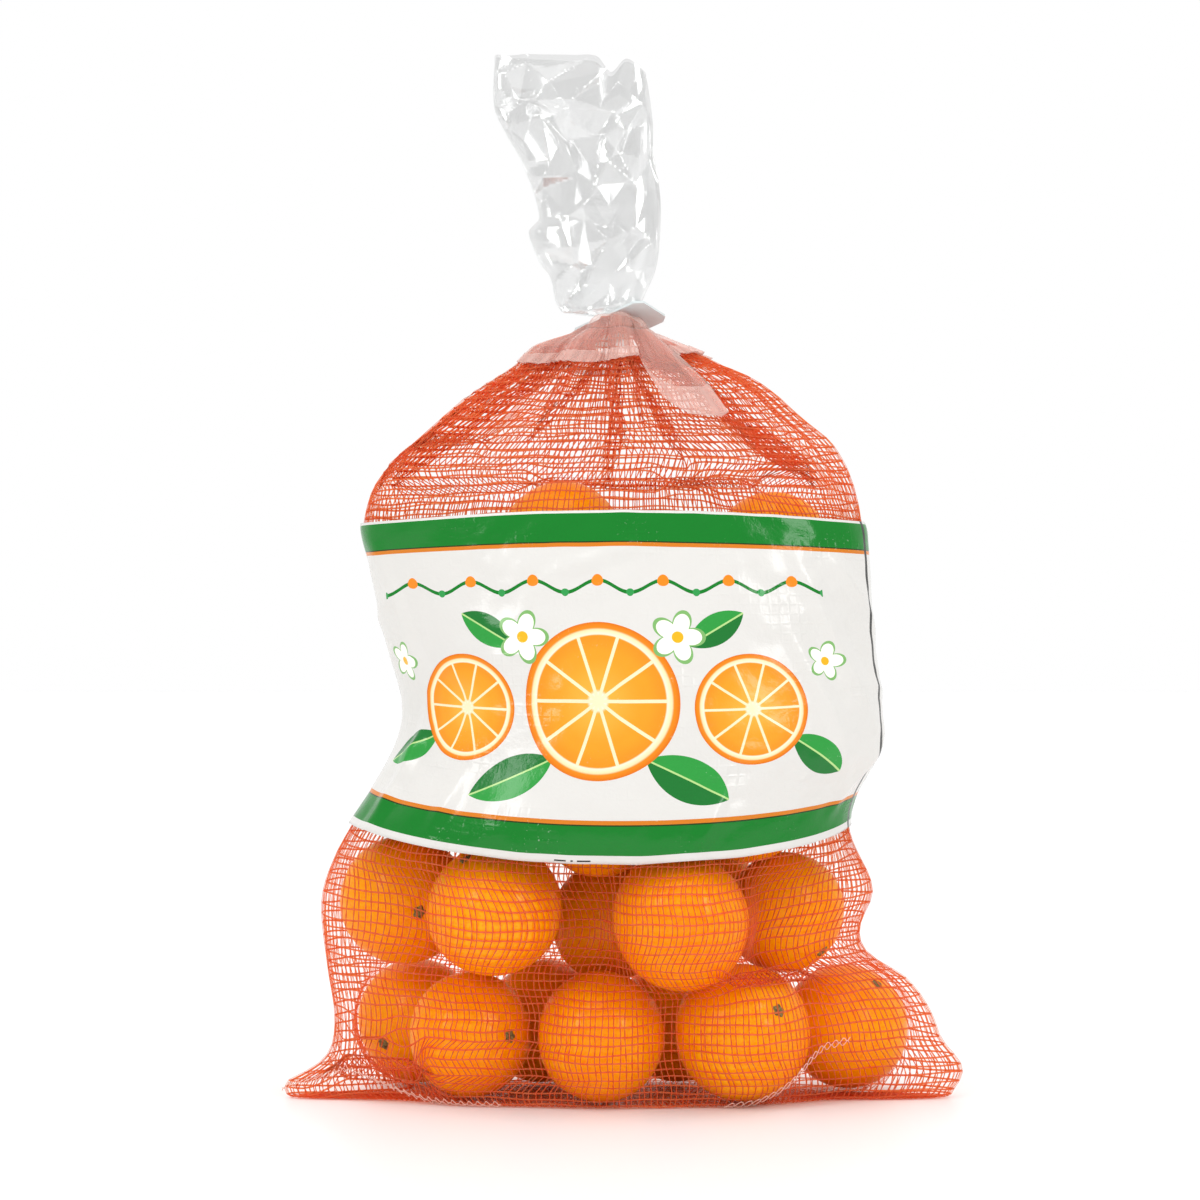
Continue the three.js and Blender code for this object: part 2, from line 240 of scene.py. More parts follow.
# a colour mix's factor, first and second colour are inputs 0, 6 and 7, and its result is output 2
pit_tint = add(
    tree, "ShaderNodeMix", {0: pits, 6: colour("#ff9200"), 7: tint.outputs["Color"]}, data_type="RGBA"
)
dimples = add(tree, "ShaderNodeBump", {"Height": pits.outputs[0], "Strength": 0.35, "Distance": 0.15 * MM})
skin = add(
    tree,
    "ShaderNodeBsdfPrincipled",
    {
        "Base Color": pit_tint.outputs[2],
        "Roughness": 0.4,
        "IOR": 1.4,
        "Specular IOR Level": 0.15,
        "Coat Weight": 0.25,
        "Coat Roughness": 0.18,
        "Normal": dimples,
    },
)
tree.links.new(skin.outputs[0], output.inputs["Surface"])

mandarins = make_piece("mandarins", points, faces, peel)
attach(mandarins, "root")
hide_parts("net_bag")

# Stem buttons
# The dry green-brown star where a fruit was cut from its stalk. It sits in the dimple of the stem end.
BUTTON_RADIUS = 2.9
BUTTON_SPOKES = 30
STAR_POINTS, STAR_DEPTH = 5, 0.16
# the button's profile from its middle to its edge: share of the radius, and height over the peel
PROFILE_SHARE = np.array([0.05, 0.45, 0.8, 1.0])
PROFILE_HEIGHT = np.array([0.5, 0.9, 0.55, -0.6])
MIDDLE_HEIGHT = 0.35

turn = np.arange(BUTTON_SPOKES) * 2 * math.pi / BUTTON_SPOKES
star = 1 + STAR_DEPTH * np.cos(STAR_POINTS * turn)
button = np.stack(
    [
        BUTTON_RADIUS * np.outer(PROFILE_SHARE, star * np.cos(turn)),
        BUTTON_RADIUS * np.outer(PROFILE_SHARE, star * np.sin(turn)),
        np.outer(PROFILE_HEIGHT, np.ones(BUTTON_SPOKES)),
    ],
    axis=-1,
).reshape(-1, 3)
button = np.vstack([button, [[0, 0, MIDDLE_HEIGHT]], [[0, 0, PROFILE_HEIGHT[-1]]]])


def seated_button(n):
    """The button, raised to the peel of a fruit beside its stem axis."""
    return button + [0, 0, fruit_points(np.array([[0.0, 0.06, 1.0]]), n)[0] * radii[n]]


points, faces = on_each_fruit(seated_button, ring_faces(len(PROFILE_SHARE), BUTTON_SPOKES))

# Dried calyx: corky and matt, olive with a brown centre.
calyx, tree, output = material_tree("dried_calyx")
place = add(tree, "ShaderNodeTexCoord").outputs["Object"]
cork = add(tree, "ShaderNodeTexNoise", {"Vector": place, "Scale": 900, "Detail": 4})
tint = add(tree, "ShaderNodeValToRGB", {"Fac": cork})
set_stops(tint, [(0.35, "#4a4a26"), (0.65, "#8f8a55")])
rough = add(tree, "ShaderNodeBump", {"Height": cork, "Strength": 0.5, "Distance": 0.3 * MM})
dry = add(
    tree,
    "ShaderNodeBsdfPrincipled",
    {"Base Color": tint.outputs["Color"], "Roughness": 0.75, "Normal": rough},
)
tree.links.new(dry.outputs[0], output.inputs["Surface"])
buttons = make_piece("stem_buttons", points, faces, calyx)
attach(buttons, "root")

# Woven net
# A leno weave of orange-red polypropylene: flat tapes run round the bag, and pairs of thin threads run up it
# and cross between every two tapes, which locks the open cells. The tube is sewn shut along its foot, sags
# between the fruit that fills it, and is gathered in folds towards the neck.
BAND_LOW, BAND_HIGH = 100, 237
BAND_LOW_RISE, BAND_HIGH_DROP = 11, 4
CREST, CREST_TILT, OUTLINE_TOP = 305.5, 5.5, 311
NECK_Z, NECK_RADIUS = 303, 7.5
NET_ON_FRUIT = 0.8
COLLAR_RISE = 7.6  # the puckered collar round the neck stands this much higher in front
COLLAR_TURN = 0.15  # and highest this far round from the front to the left, in radians
BRIDGE = 8  # over hollows much wider than this the net sags back to its slack shape
SAG_ROUNDS = 500
FOLDS, FOLD_HEIGHT = 11, 0.13  # soft waves round the gathered net, and their height as a share of its reach
EAR_SHARPNESS = 60  # how fast an empty corner falls off from its seam, as a power of the cosine
# half widths of the slack net at each side and its depth in front and behind, as [height, distance], then
# how far the empty corners stand out, and half the length of the spine that the net is drawn round
SIDE_RIGHT = [
    [0, 88], [27, 112], [48, 102], [60, 84], [79, 101.5], [91, 101], [108, 89.5], [118, 90.5], [127, 94.5],
    [143, 105.5], [186, 101.8], [234, 98.6], [253, 93.7], [262, 89.3], [272, 82], [281, 69], [290, 60.5],
    [299, 46.5], [306, 27], [311, 14],
]
SIDE_LEFT = [
    [0, 92], [18, 112], [38, 115.6], [55, 118.4], [81, 120.5], [100, 114.3], [112, 106.5], [153, 84.5],
    [185, 93], [233, 103.2], [244, 102.8], [253, 100.4], [262, 93.9], [272, 82.2], [281, 71.4], [290, 57],
    [299, 41], [307, 33], [311, 20],
]
FRONT = [
    [0, 32], [20, 26], [60, 24], [88, 28], [100, 57], [140, 54], [190, 46], [237, 35], [250, 30],
    [270, 25], [290, 20], [306, 17], [311, 15],
]
BACK = [
    [0, 44], [20, 36], [60, 30], [88, 30], [100, 52], [140, 51], [190, 43], [237, 33], [250, 28],
    [270, 23], [290, 18], [306, 14], [311, 12],
]
EAR_RIGHT = [[0, 46], [11, 40], [26, 18], [48, 15], [55, 14], [60, 0]]
EAR_LEFT = [[0, 42], [4, 39], [8, 31], [12, 16], [18, 3], [26, 0]]
SPINE = [[0, 62], [200, 62], [237, 58], [258, 50], [271, 40], [289, 24], [300, 10], [311, 3]]

NET_COLUMNS = 560
BELLY_ROWS, BAND_ROWS, DOME_ROWS, NECK_ROWS, FOOT_ROWS = 100, 136, 90, 8, 12
DOME_CROWDING = 1.5  # rows crowd together towards the crest, by this power of their share
TAPE_SPACING = 4.2
WARP_PAIRS = 228
PAIR_SPACING = 2.8
TAPE_STEPS = 300
TAPE_WIDTH, TAPE_THICKNESS = 0.74, 0.14
WARP_WIDTH, WARP_THICKNESS = 0.38, 0.16
TWIST = 0.13  # half the distance between the two threads of a pair
THREAD_LIFT = 0.2  # one thread of a pair passes this far over the tapes, and the other under them
PLEAT_DEPTH = 7  # how far the gathered net folds inwards half way up to the neck

# Folds in which the gathered net doubles back over itself on its way up to the neck: angle at the band's
# edge and at the neck, half width at the band in columns, and the share of the climb where it begins
GATHERS = [
    (277, 260, 15, 0.15), (283, 278, 11, 0.2), (338, 295, 20, 0.0), (307, 297, 10, 0.1),
    (194, 206, 20, 0.0), (217, 215, 12, 0.1), (245, 240, 9, 0.3), (30, 40, 16, 0.1),
    (65, 70, 13, 0.2), (95, 90, 15, 0.1), (128, 118, 12, 0.3), (160, 150, 18, 0.0),
]
# Creases that run round the bag: height, half height, and the angles from which and to which they run
CREASES = [
    (249, 5, 279, 312), (266, 6, 200, 232), (14, 10, 184, 224), (30, 5, 192, 216), (52, 6, 288, 328),
    (250, 6, 60, 120), (20, 5, 20, 60),
]
OVERLAP = 2.5  # how far a fold's layers slide over each other, as a share of its half width
LAYER_GAP = 1.6  # how far apart they lie
GATHER_GROWTH = 0.35  # share of the climb in which a gather grows to full strength
CREASE_FADE = 9  # degrees in which a crease fades out at each end


def through(points, at):
    """A smooth curve through [position, value] points: between two of them it is a cubic whose slope at each
    is that of the line between its neighbours, and outside them it stays level."""
    place, value = np.array(points, float).T
    low = np.maximum(np.arange(len(place)) - 1, 0)
    high = np.minimum(np.arange(len(place)) + 1, len(place) - 1)
    slope = (value[high] - value[low]) / (place[high] - place[low])
    at = np.clip(at, place[0], place[-1])
    k = np.clip(np.searchsorted(place, at, side="right") - 1, 0, len(place) - 2)
    step = place[k + 1] - place[k]
    t = (at - place[k]) / step
    rise = 3 * t**2 - 2 * t**3
    bends = step * (slope[k] * t * (1 - t) ** 2 - slope[k + 1] * t**2 * (1 - t))
    return value[k] * (1 - rise) + value[k + 1] * rise + bends


def even_angles(count, half_width=112, half_depth=56, fine=3600):
    """Angles that step evenly along an ellipse as wide and deep as the bag."""
    middle = (np.arange(fine) + 0.5) / fine * 2 * math.pi
    speed = np.hypot(half_width * np.sin(middle), half_depth * np.cos(middle))
    length = np.concatenate([[0], np.cumsum(speed)])
    goal = np.arange(count) / count * length[-1]
    return np.interp(goal, length, np.arange(fine + 1)) / fine * 2 * math.pi


def slack_reach(angle, height):
    """Distance of the slack net from the spine: its depth and its half width, mixed by the squared cosine of
    the angle, with the empty corners at the foot as thin fins along the side seams."""
    side = np.cos(angle) ** 2
    right = np.cos(angle) > 0
    width = np.where(right, through(SIDE_RIGHT, height), through(SIDE_LEFT, height))
    depth = np.where(np.sin(angle) < 0, through(FRONT, height), through(BACK, height))
    ear = np.where(right, through(EAR_RIGHT, height), through(EAR_LEFT, height))
    fin = ear * np.abs(np.cos(angle)) ** EAR_SHARPNESS
    return depth * (1 - side) + (width - through(SPINE, height)) * side + fin


def fruit_reach(angle, height):
    """Distance from the spine at which a ray leaves the last fruit that it meets, from the quadratic formula
    for a line and a circle, or 0 where it meets none."""
    spine = through(SPINE, height) * np.cos(angle)
    reach = np.zeros_like(height)
    for (x, y, z), radius in zip(centres, radii):
        rest = (radius + NET_ON_FRUIT) ** 2 - (height - z) ** 2
        along = (x - spine) * np.cos(angle) + y * np.sin(angle)
        inside = along**2 - (x - spine) ** 2 - y**2 + rest
        hit = (rest > 0) & (inside > 0)
        reach = np.where(hit, np.maximum(reach, along + np.sqrt(np.maximum(inside, 0))), reach)
    return reach


angles = even_angles(NET_COLUMNS)
low_edge = BAND_LOW + BAND_LOW_RISE * np.cos(angles) ** 2
high_edge = BAND_HIGH - BAND_HIGH_DROP * np.cos(angles) ** 2
crest = CREST - CREST_TILT * np.sin(angles)
belly_share = np.arange(BELLY_ROWS)[:, None] / BELLY_ROWS
band_share = np.arange(BAND_ROWS)[:, None] / BAND_ROWS
dome_share = 1 - (1 - np.arange(DOME_ROWS + 1)[:, None] / DOME_ROWS) ** DOME_CROWDING
heights = np.vstack(
    [
        belly_share * low_edge,
        low_edge + band_share * (high_edge - low_edge),
        high_edge + dome_share * (crest - high_edge),
    ]
)
# the heights at which the lists above are read: the crest is tilted, but its outline is read level
level_dome = BAND_HIGH + dome_share * (OUTLINE_TOP - BAND_HIGH) * np.ones(NET_COLUMNS)
outlines = np.vstack([heights[:BELLY_ROWS + BAND_ROWS], level_dome])
angle_grid = np.broadcast_to(angles, heights.shape)
least = np.maximum(fruit_reach(angle_grid, heights), slack_reach(angle_grid, outlines))
# the net hangs between the fruit like a skin: each point at the mean of its neighbours, pulled back a little
pull = 1 / (1 + 4 * BRIDGE**2)
reach = least.copy()
for _ in range(SAG_ROUNDS):
    middle = (np.roll(reach, 1, 1) + np.roll(reach, -1, 1))[1:-1] + reach[:-2] + reach[2:]
    reach[1:-1] = np.maximum(least[1:-1], middle / 4 * (1 - pull) + least[1:-1] * pull)

climb = np.maximum(outlines - BAND_HIGH, 0) / (OUTLINE_TOP - BAND_HIGH)
fold_phase = FOLDS * angle_grid + 2 * np.sin(angle_grid)
fold = 1 + FOLD_HEIGHT * climb * np.cos(fold_phase)
valley = (0.5 - 0.5 * np.cos(fold_phase)) ** 1.4
pleats = np.minimum(PLEAT_DEPTH * np.sin(math.pi * np.clip(climb, 0, 1) ** 0.8), 0.5 * reach) * valley
pleats *= np.abs(np.sin(angle_grid))  # at the sides the net is pulled taut


def net_points(out):
    """The net's surface moved out by a distance: round a spine along X, each point lies at its reach, which
    folds and pleats change near the neck."""
    far = reach * fold + out
    spine = through(SPINE, outlines)
    return np.stack(
        [(spine + far) * np.cos(angle_grid), far * np.sin(angle_grid), heights], axis=-1
    )


outer = net_points(0)
pleated = outer.copy()
pleated[..., 0] -= pleats * np.cos(angle_grid)
pleated[..., 1] -= pleats * np.sin(angle_grid)


def surface_normals(points):
    """Outward unit normals of closed rows: the tangent round a row crossed with the one up the rows."""
    around = np.roll(points, -1, 1) - np.roll(points, 1, 1)
    up = np.gradient(points, axis=0)
    normal = np.cross(around, up)
    return normal / np.maximum(np.linalg.norm(normal, axis=-1, keepdims=True), 1e-9)


def ramp(value, start, end):
    """A smooth step from 0 at start to 1 at end: 3t squared less 2t cubed."""
    t = np.clip((value - start) / (end - start), 0, 1)
    return t * t * (3 - 2 * t)


def sampled(points, row_numbers, column_numbers):
    """A surface of closed rows read at fractional row and column numbers, linear between its points."""
    row_numbers = np.clip(row_numbers, 0, len(points) - 1.001)
    low, left = np.floor(row_numbers).astype(int), np.floor(column_numbers).astype(int)
    up, along = (row_numbers - low)[..., None], (column_numbers - left)[..., None]
    left, right = left % points.shape[1], (left + 1) % points.shape[1]
    lower = points[low, left] * (1 - along) + points[low, right] * along
    upper = points[low + 1, left] * (1 - along) + points[low + 1, right] * along
    return lower * (1 - up) + upper * up


def fold_slide(offset):
    """How far a fold moves the net at an offset from its middle: minus the offset times a bell curve."""
    return -offset * np.exp(-offset**2)


row_count = len(heights)
to_column = np.broadcast_to(np.arange(NET_COLUMNS, dtype=float), heights.shape).copy()
to_row = np.broadcast_to(np.arange(row_count, dtype=float)[:, None], heights.shape).copy()
lift = np.zeros_like(heights)
own_column = to_column.copy()
for low_angle, neck_angle, half_width, begins in GATHERS:
    middle_angle = np.radians(low_angle + (neck_angle - low_angle) * climb)
    middle_column = np.interp(middle_angle, angles, np.arange(NET_COLUMNS))
    offset = (own_column - middle_column + NET_COLUMNS / 2) % NET_COLUMNS - NET_COLUMNS / 2
    strength = ramp(climb, begins, begins + GATHER_GROWTH)
    to_column += strength * OVERLAP * half_width * fold_slide(offset / half_width)
    lift -= strength * LAYER_GAP * fold_slide(offset / half_width)
for height, half_height, from_angle, to_angle in CREASES:
    offset = (heights - height) / half_height
    turned = np.degrees(angle_grid)
    strength = ramp(turned, from_angle, from_angle + CREASE_FADE)
    strength = strength * (1 - ramp(turned, to_angle - CREASE_FADE, to_angle))
    to_row += strength * OVERLAP * half_height * fold_slide(offset)
    lift -= strength * LAYER_GAP * fold_slide(offset)
folded_net = sampled(pleated, to_row, to_column)
folded_net += sampled(surface_normals(pleated), to_row, to_column) * lift[..., None]


def into_neck(points):
    """Adds rows from the crest to the ring where the gathered net enters the clip: they rise a little to a
    puckered collar, most in front, turn over it and fall to the ring's height."""
    t = (np.arange(1, NECK_ROWS + 1) / NECK_ROWS)[:, None]
    top = points[-1]
    ring_x, ring_y = NECK_RADIUS * np.cos(angles), NECK_RADIUS * np.sin(angles)
    collar = COLLAR_RISE * np.clip(-np.sin(angles + COLLAR_TURN), 0, 1)
    rows = np.stack(
        [
            top[:, 0] + (ring_x - top[:, 0]) * t,
            top[:, 1] + (ring_y - top[:, 1]) * t,
            top[:, 2] + (NECK_Z - top[:, 2]) * t**2 + collar * np.sin(math.pi * t),
        ],
        axis=-1,
    )
    return np.concatenate([points, rows])


def under_foot(points):
    """Adds rows under the bag, from its rim on the floor inwards to the seam along its middle, and lifts
    the foot by a tape's width, so that nothing dips below the floor."""
    t = (np.arange(FOOT_ROWS) / FOOT_ROWS)[:, None]
    rim = points[0]
    rows = np.stack([rim[:, 0] * (0.86 + 0.14 * t), rim[:, 1] * t**0.8, 0 * t * rim[:, 2]], axis=-1)
    raised = np.concatenate([rows, points])
    raised[..., 2] = np.maximum(raised[..., 2], TAPE_WIDTH)
    return raised


def evenly_round(points, count):
    """Points round each closed row, spaced evenly by length within each quarter turn, so that one column of
    them stays at the middle of the front, of the back and of each side."""
    closed = np.concatenate([points, points[:, :1]], axis=1)
    steps = np.linalg.norm(np.diff(closed, axis=1), axis=-1)
    length = np.concatenate([np.zeros((len(points), 1)), np.cumsum(steps, axis=1)], axis=1)
    quarters = np.arange(5) * points.shape[1] // 4
    share = np.arange(count) / count * 4
    rows = []
    for row, run in zip(closed, length):
        goal = np.interp(share, np.arange(5), run[quarters])
        rows.append(np.stack([np.interp(goal, run, row[:, k]) for k in range(3)], axis=-1))
    return np.stack(rows)


def rows_by_length(points, spacing):
    """Rows at an even spacing along the mean length of the columns."""
    steps = np.linalg.norm(np.diff(points, axis=0), axis=-1).mean(axis=1)
    length = np.concatenate([[0], np.cumsum(steps)])
    goal = np.arange(spacing / 2, length[-1], spacing)
    at = np.interp(goal, length, np.arange(len(points)))
    low = np.minimum(at.astype(int), len(points) - 2)
    part = (at - low)[:, None, None]
    return points[low] * (1 - part) + points[low + 1] * part


def thread_mesh(paths, normals, width, thickness, closed):
    """Three-sided threads along paths: at each path point a flat triangle stands across the path, its base
    on the surface and its ridge along the normal. Open paths get a face at each end."""
    if closed:
        along = np.roll(paths, -1, 1) - np.roll(paths, 1, 1)
    else:
        along = np.gradient(paths, axis=1)
    across = np.cross(along, normals)
    across /= np.maximum(np.linalg.norm(across, axis=-1, keepdims=True), 1e-9)
    ridge = paths + normals * thickness / 2
    left = paths - normals * thickness / 2 - across * width / 2
    right = paths - normals * thickness / 2 + across * width / 2
    corners = np.stack([ridge, left, right], axis=2)
    count, steps = paths.shape[:2]
    number = np.arange(count * steps * 3).reshape(count, steps, 3)
    here = number if closed else number[:, :-1]
    there = np.roll(number, -1, 1) if closed else number[:, 1:]
    faces = []
    for k in range(3):
        a, b = here[..., k], here[..., (k + 1) % 3]
        c, d = there[..., (k + 1) % 3], there[..., k]
        faces += [np.stack([a, b, c], -1).reshape(-1, 3), np.stack([a, c, d], -1).reshape(-1, 3)]
    if not closed:
        faces += [number[:, 0, ::-1], number[:, -1, :]]
    return corners.reshape(-1, 3), np.vstack(faces)


whole = under_foot(into_neck(folded_net))
tape_rows = rows_by_length(whole, TAPE_SPACING)
tape_paths = evenly_round(tape_rows, TAPE_STEPS)
tape_normals = surface_normals(tape_paths)
crossings = evenly_round(tape_rows, WARP_PAIRS)
crossing_normals = surface_normals(crossings)
side = np.roll(crossings, -1, 1) - np.roll(crossings, 1, 1)
gap_round = np.linalg.norm(side, axis=-1, keepdims=True) / 2
side /= np.maximum(2 * gap_round, 1e-9)

# Each tape wanders a little up and down, and each pair from side to side, as in any loose weave
row_number = np.arange(len(tape_rows))[:, None]
step_number = np.arange(TAPE_STEPS)[None] * 2 * math.pi / TAPE_STEPS
wander = 0.35 * np.sin(7 * step_number + 2.1 * row_number)
wander = wander + 0.3 * np.sin(19 * step_number + 5.3 * row_number)
up = np.gradient(tape_paths, axis=0)
up /= np.maximum(np.linalg.norm(up, axis=-1, keepdims=True), 1e-9)
tape_paths = tape_paths + up * wander[..., None]
pair_number = np.arange(WARP_PAIRS)[None]
sway = 0.35 * np.sin(0.31 * row_number + 2.7 * pair_number)
sway = sway + 0.2 * np.sin(0.83 * row_number + 1.3 * pair_number)
swap = np.where((row_number + pair_number) % 2 == 0, 1.0, -1.0)
spread = np.minimum(gap_round, PAIR_SPACING) / PAIR_SPACING

# Polypropylene tape: split from a stretched film, so it has lengthwise streaks and a soft silky gloss. It
# is see-through like coloured glass: salmon over white, a darker orange over the fruit, red in thick layers.
net_plastic, tree, output = material_tree("orange_red_polypropylene_tape")
place = add(tree, "ShaderNodeTexCoord").outputs["Object"]
streaks = add(tree, "ShaderNodeTexNoise", {"Vector": place, "Scale": 260, "Detail": 2})
tint = add(tree, "ShaderNodeValToRGB", {"Fac": streaks})
set_stops(tint, [(0.3, "#ff9860"), (0.7, "#ffb682")])
body = add(
    tree,
    "ShaderNodeBsdfPrincipled",
    {"Base Color": tint.outputs["Color"], "Roughness": 0.3, "IOR": 1.45},
)
glow = add(tree, "ShaderNodeBsdfTranslucent", {"Color": tint.outputs["Color"]})
cloudy = add(tree, "ShaderNodeMixShader", {0: 0.4, 1: body, 2: glow})
clear_part = add(tree, "ShaderNodeBsdfTransparent", {"Color": colour("#ffc294")})
mixed = add(tree, "ShaderNodeMixShader", {0: 0.58, 1: cloudy, 2: clear_part})
tree.links.new(mixed.outputs[0], output.inputs["Surface"])

points, faces = thread_mesh(tape_paths, tape_normals, TAPE_WIDTH, TAPE_THICKNESS, closed=True)
tapes = make_piece("net_tapes", points, faces, net_plastic)
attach(tapes, "root")
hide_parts("net_bag")

for which, name in ((1.0, "net_warps_over"), (-1.0, "net_warps_under")):
    shift = side * (sway + which * swap * TWIST)[..., None] * spread
    beside = (crossings + shift + crossing_normals * (which * THREAD_LIFT)).transpose(1, 0, 2)
    points, faces = thread_mesh(
        beside, crossing_normals.transpose(1, 0, 2), WARP_WIDTH, WARP_THICKNESS, closed=False
    )
    warps = make_piece(name, points, faces, net_plastic)
    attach(warps, "root")
    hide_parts("net_bag")

# Seam stitches
# The chain stitch of pale thread that shuts the tube's foot. It shows near both corners, where the seam
# has rolled up round the fruit.
# where the seam runs on the net, at each corner: angles in degrees, and rows of the net up from the floor
SEAM_ROUTES = [
    [(181, 3), (186, 7), (192, 12), (199, 9), (207, 5), (216, 2), (228, 1), (240, 1)],
    [(296, 1), (303, 3), (309, 9), (316, 17), (322, 22), (330, 24)],
]
STITCH, STITCH_SWING = 3.4, 0.8
STITCH_STEPS = 8  # points in each stitch
SECOND_THREAD = 1.2  # rows between the two threads of the chain
STITCH_LIFT, STITCH_WAVE = 1.4, 0.3  # height over the net, and how much it rises and falls
SEAM_WIDTH, SEAM_THICKNESS = 0.34, 0.3
SEAM_FLOOR = 0.6  # the thread keeps clear of the floor by this much
ROUTE_STEPS = 400
net_normals = surface_normals(pleated)
seam_points, seam_faces, made = [], [], 0
for route in SEAM_ROUTES:
    turned, risen = np.array(route, float).T
    fine_at = np.linspace(0, len(route) - 1, ROUTE_STEPS)
    fine_angle = np.radians(np.interp(fine_at, np.arange(len(route)), turned))
    column_at = np.interp(fine_angle, angles, np.arange(NET_COLUMNS))
    row_at = np.interp(fine_at, np.arange(len(route)), risen)
    line = sampled(pleated, row_at, column_at)
    run = np.concatenate([[0], np.cumsum(np.linalg.norm(np.diff(line, axis=0), axis=-1))])
    at_length = np.linspace(0, run[-1], int(run[-1] / STITCH * STITCH_STEPS))
    picked = np.interp(at_length, run, np.arange(ROUTE_STEPS))
    row_at = np.interp(picked, np.arange(ROUTE_STEPS), row_at)
    column_at = np.interp(picked, np.arange(ROUTE_STEPS), column_at)
    stitch_turn = at_length / STITCH * 2 * math.pi
    standing = sampled(net_normals, row_at, column_at)
    lifted = standing * (STITCH_LIFT + STITCH_WAVE * np.cos(stitch_turn)[:, None])
    for up_from_seam, lean in ((0.0, 0.0), (SECOND_THREAD, math.pi)):
        rise = STITCH_SWING * np.sin(stitch_turn + lean) + up_from_seam
        path = sampled(pleated, np.maximum(row_at + rise, 0.8), column_at) + lifted
        path[:, 2] = np.maximum(path[:, 2], SEAM_FLOOR)
        points, faces = thread_mesh(path[None], standing[None], SEAM_WIDTH, SEAM_THICKNESS, closed=False)
        seam_points.append(points)
        seam_faces.append(faces + made)
        made += len(points)

# Spun polyester sewing thread: its pale colour is painted pink for the light that comes through the net
# round it
thread, tree, output = material_tree("pale_polyester_thread")
spun = add(tree, "ShaderNodeBsdfPrincipled", {"Base Color": colour("#f9cdbd"), "Roughness": 0.5})
tree.links.new(spun.outputs[0], output.inputs["Surface"])
stitches = make_piece("seam_stitches", np.vstack(seam_points), np.vstack(seam_faces), thread)
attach(stitches, "root")

# Printed band
# A sleeve of white polyethylene film, printed on its outside and pulled slackly over the net, so that it
# bridges the fruit, creases where the bag bends, and shines along the creases.
BAND_STAND_OFF = 1.0
SIDE_TIGHTNESS = 0.6  # how much flatter the wrinkles are where the sleeve turns round the sides
FILM_THICKNESS = 0.14
BAND_STEPS, BAND_HEIGHT_STEPS = 400, 96
BAND_SMOOTHING = 6  # rounds of relaxing, because film is stiffer than net
PRINT_SHIFT = 9.0  # the sleeve sits turned a little, so that its right seam shows
LABEL_HEIGHT = BAND_HIGH - BAND_LOW
# sharp creases where the film is pulled: both ends across and up the sleeve, height and half width
PULLS = [
    (-88, -4, -80, 62, 3.4, 6), (-80, 62, -96, 130, 2.4, 7), (-104, 20, -76, 44, 2.0, 6),
    (82, 118, 112, 46, 2.8, 7), (96, 122, 128, 84, 2.2, 6), (72, 100, 104, 20, 2.2, 6),
    (100, 10, 124, 44, 2.2, 5), (108, 66, 134, 58, 1.8, 5), (-116, 88, -84, 108, 2.2, 6),
    (-62, -2, -54, 34, 1.6, 5), (36, -2, 48, 26, 1.4, 5), (-22, 112, 20, 124, 1.2, 5),
]


def crumple(x, y, size, count=7, sharp=1.0, seed=0.0):
    """Creases at random slants: the mean of folded sine waves, each the absolute value of a sine along its
    own direction, between 0 and 1."""
    total = 0
    for k in range(count):
        slant = GOLDEN_TURN * (k + seed)
        wave = 2 * math.pi / (size * (0.7 + 0.13 * k))
        bend = 0.6 * np.sin(wave * 0.37 * (x * math.sin(slant) - y * math.cos(slant)) + k)
        along = x * math.cos(slant) + y * math.sin(slant)
        total = total + np.abs(np.sin(wave * along + 1.9 * k + bend)) ** sharp
    return total / count


def shell_mesh(inner, outer_rows):
    """A shell between two grids of closed rows, joined along its two rims."""
    rows, count = outer_rows.shape[:2]
    number = np.arange(rows * count).reshape(rows, count)
    after = np.roll(number, -1, 1)
    outside = np.stack([number[:-1], after[:-1], after[1:], number[1:]], -1).reshape(-1, 4)
    inside = outside[:, ::-1] + rows * count
    foot = np.stack([number[0] + rows * count, after[0] + rows * count, after[0], number[0]], -1)
    head = np.stack([number[-1], after[-1], after[-1] + rows * count, number[-1] + rows * count], -1)
    points = np.concatenate([outer_rows.reshape(-1, 3), inner.reshape(-1, 3)])
    return points, np.vstack([outside, inside, foot, head])


def smoothed(points, turns):
    """Closed rows relaxed towards the mean of each point's neighbours, with the first and last row fixed."""
    for _ in range(turns):
        mean = (np.roll(points, 1, 1) + np.roll(points, -1, 1))[1:-1] + points[:-2] + points[2:]
        points = np.concatenate([points[:1], mean / 4, points[-1:]])
    return points


band_grid = smoothed(outer[BELLY_ROWS:BELLY_ROWS + BAND_ROWS + 1], BAND_SMOOTHING)
at = np.linspace(0, len(band_grid) - 1, BAND_HEIGHT_STEPS)
low = np.minimum(at.astype(int), len(band_grid) - 2)
part = (at - low)[:, None, None]
band_grid = evenly_round(band_grid[low] * (1 - part) + band_grid[low + 1] * part, BAND_STEPS)
normals = surface_normals(band_grid)

# The print runs twice round the sleeve, once in front and once behind, with a side seam between the two.
# print_x is measured along the sleeve from the middle of a panel, and print_y up from its lower edge.
round_length = np.linalg.norm(np.roll(band_grid, -1, 1) - band_grid, axis=-1).sum(axis=1).mean()
panel = round_length / 2
round_x = (np.arange(BAND_STEPS) / BAND_STEPS - 0.75) * round_length + PRINT_SHIFT
round_x = np.broadcast_to(round_x, band_grid.shape[:2])
print_x = (round_x + panel / 2) % panel - panel / 2
print_y = np.broadcast_to(np.linspace(0, LABEL_HEIGHT, BAND_HEIGHT_STEPS)[:, None], print_x.shape)
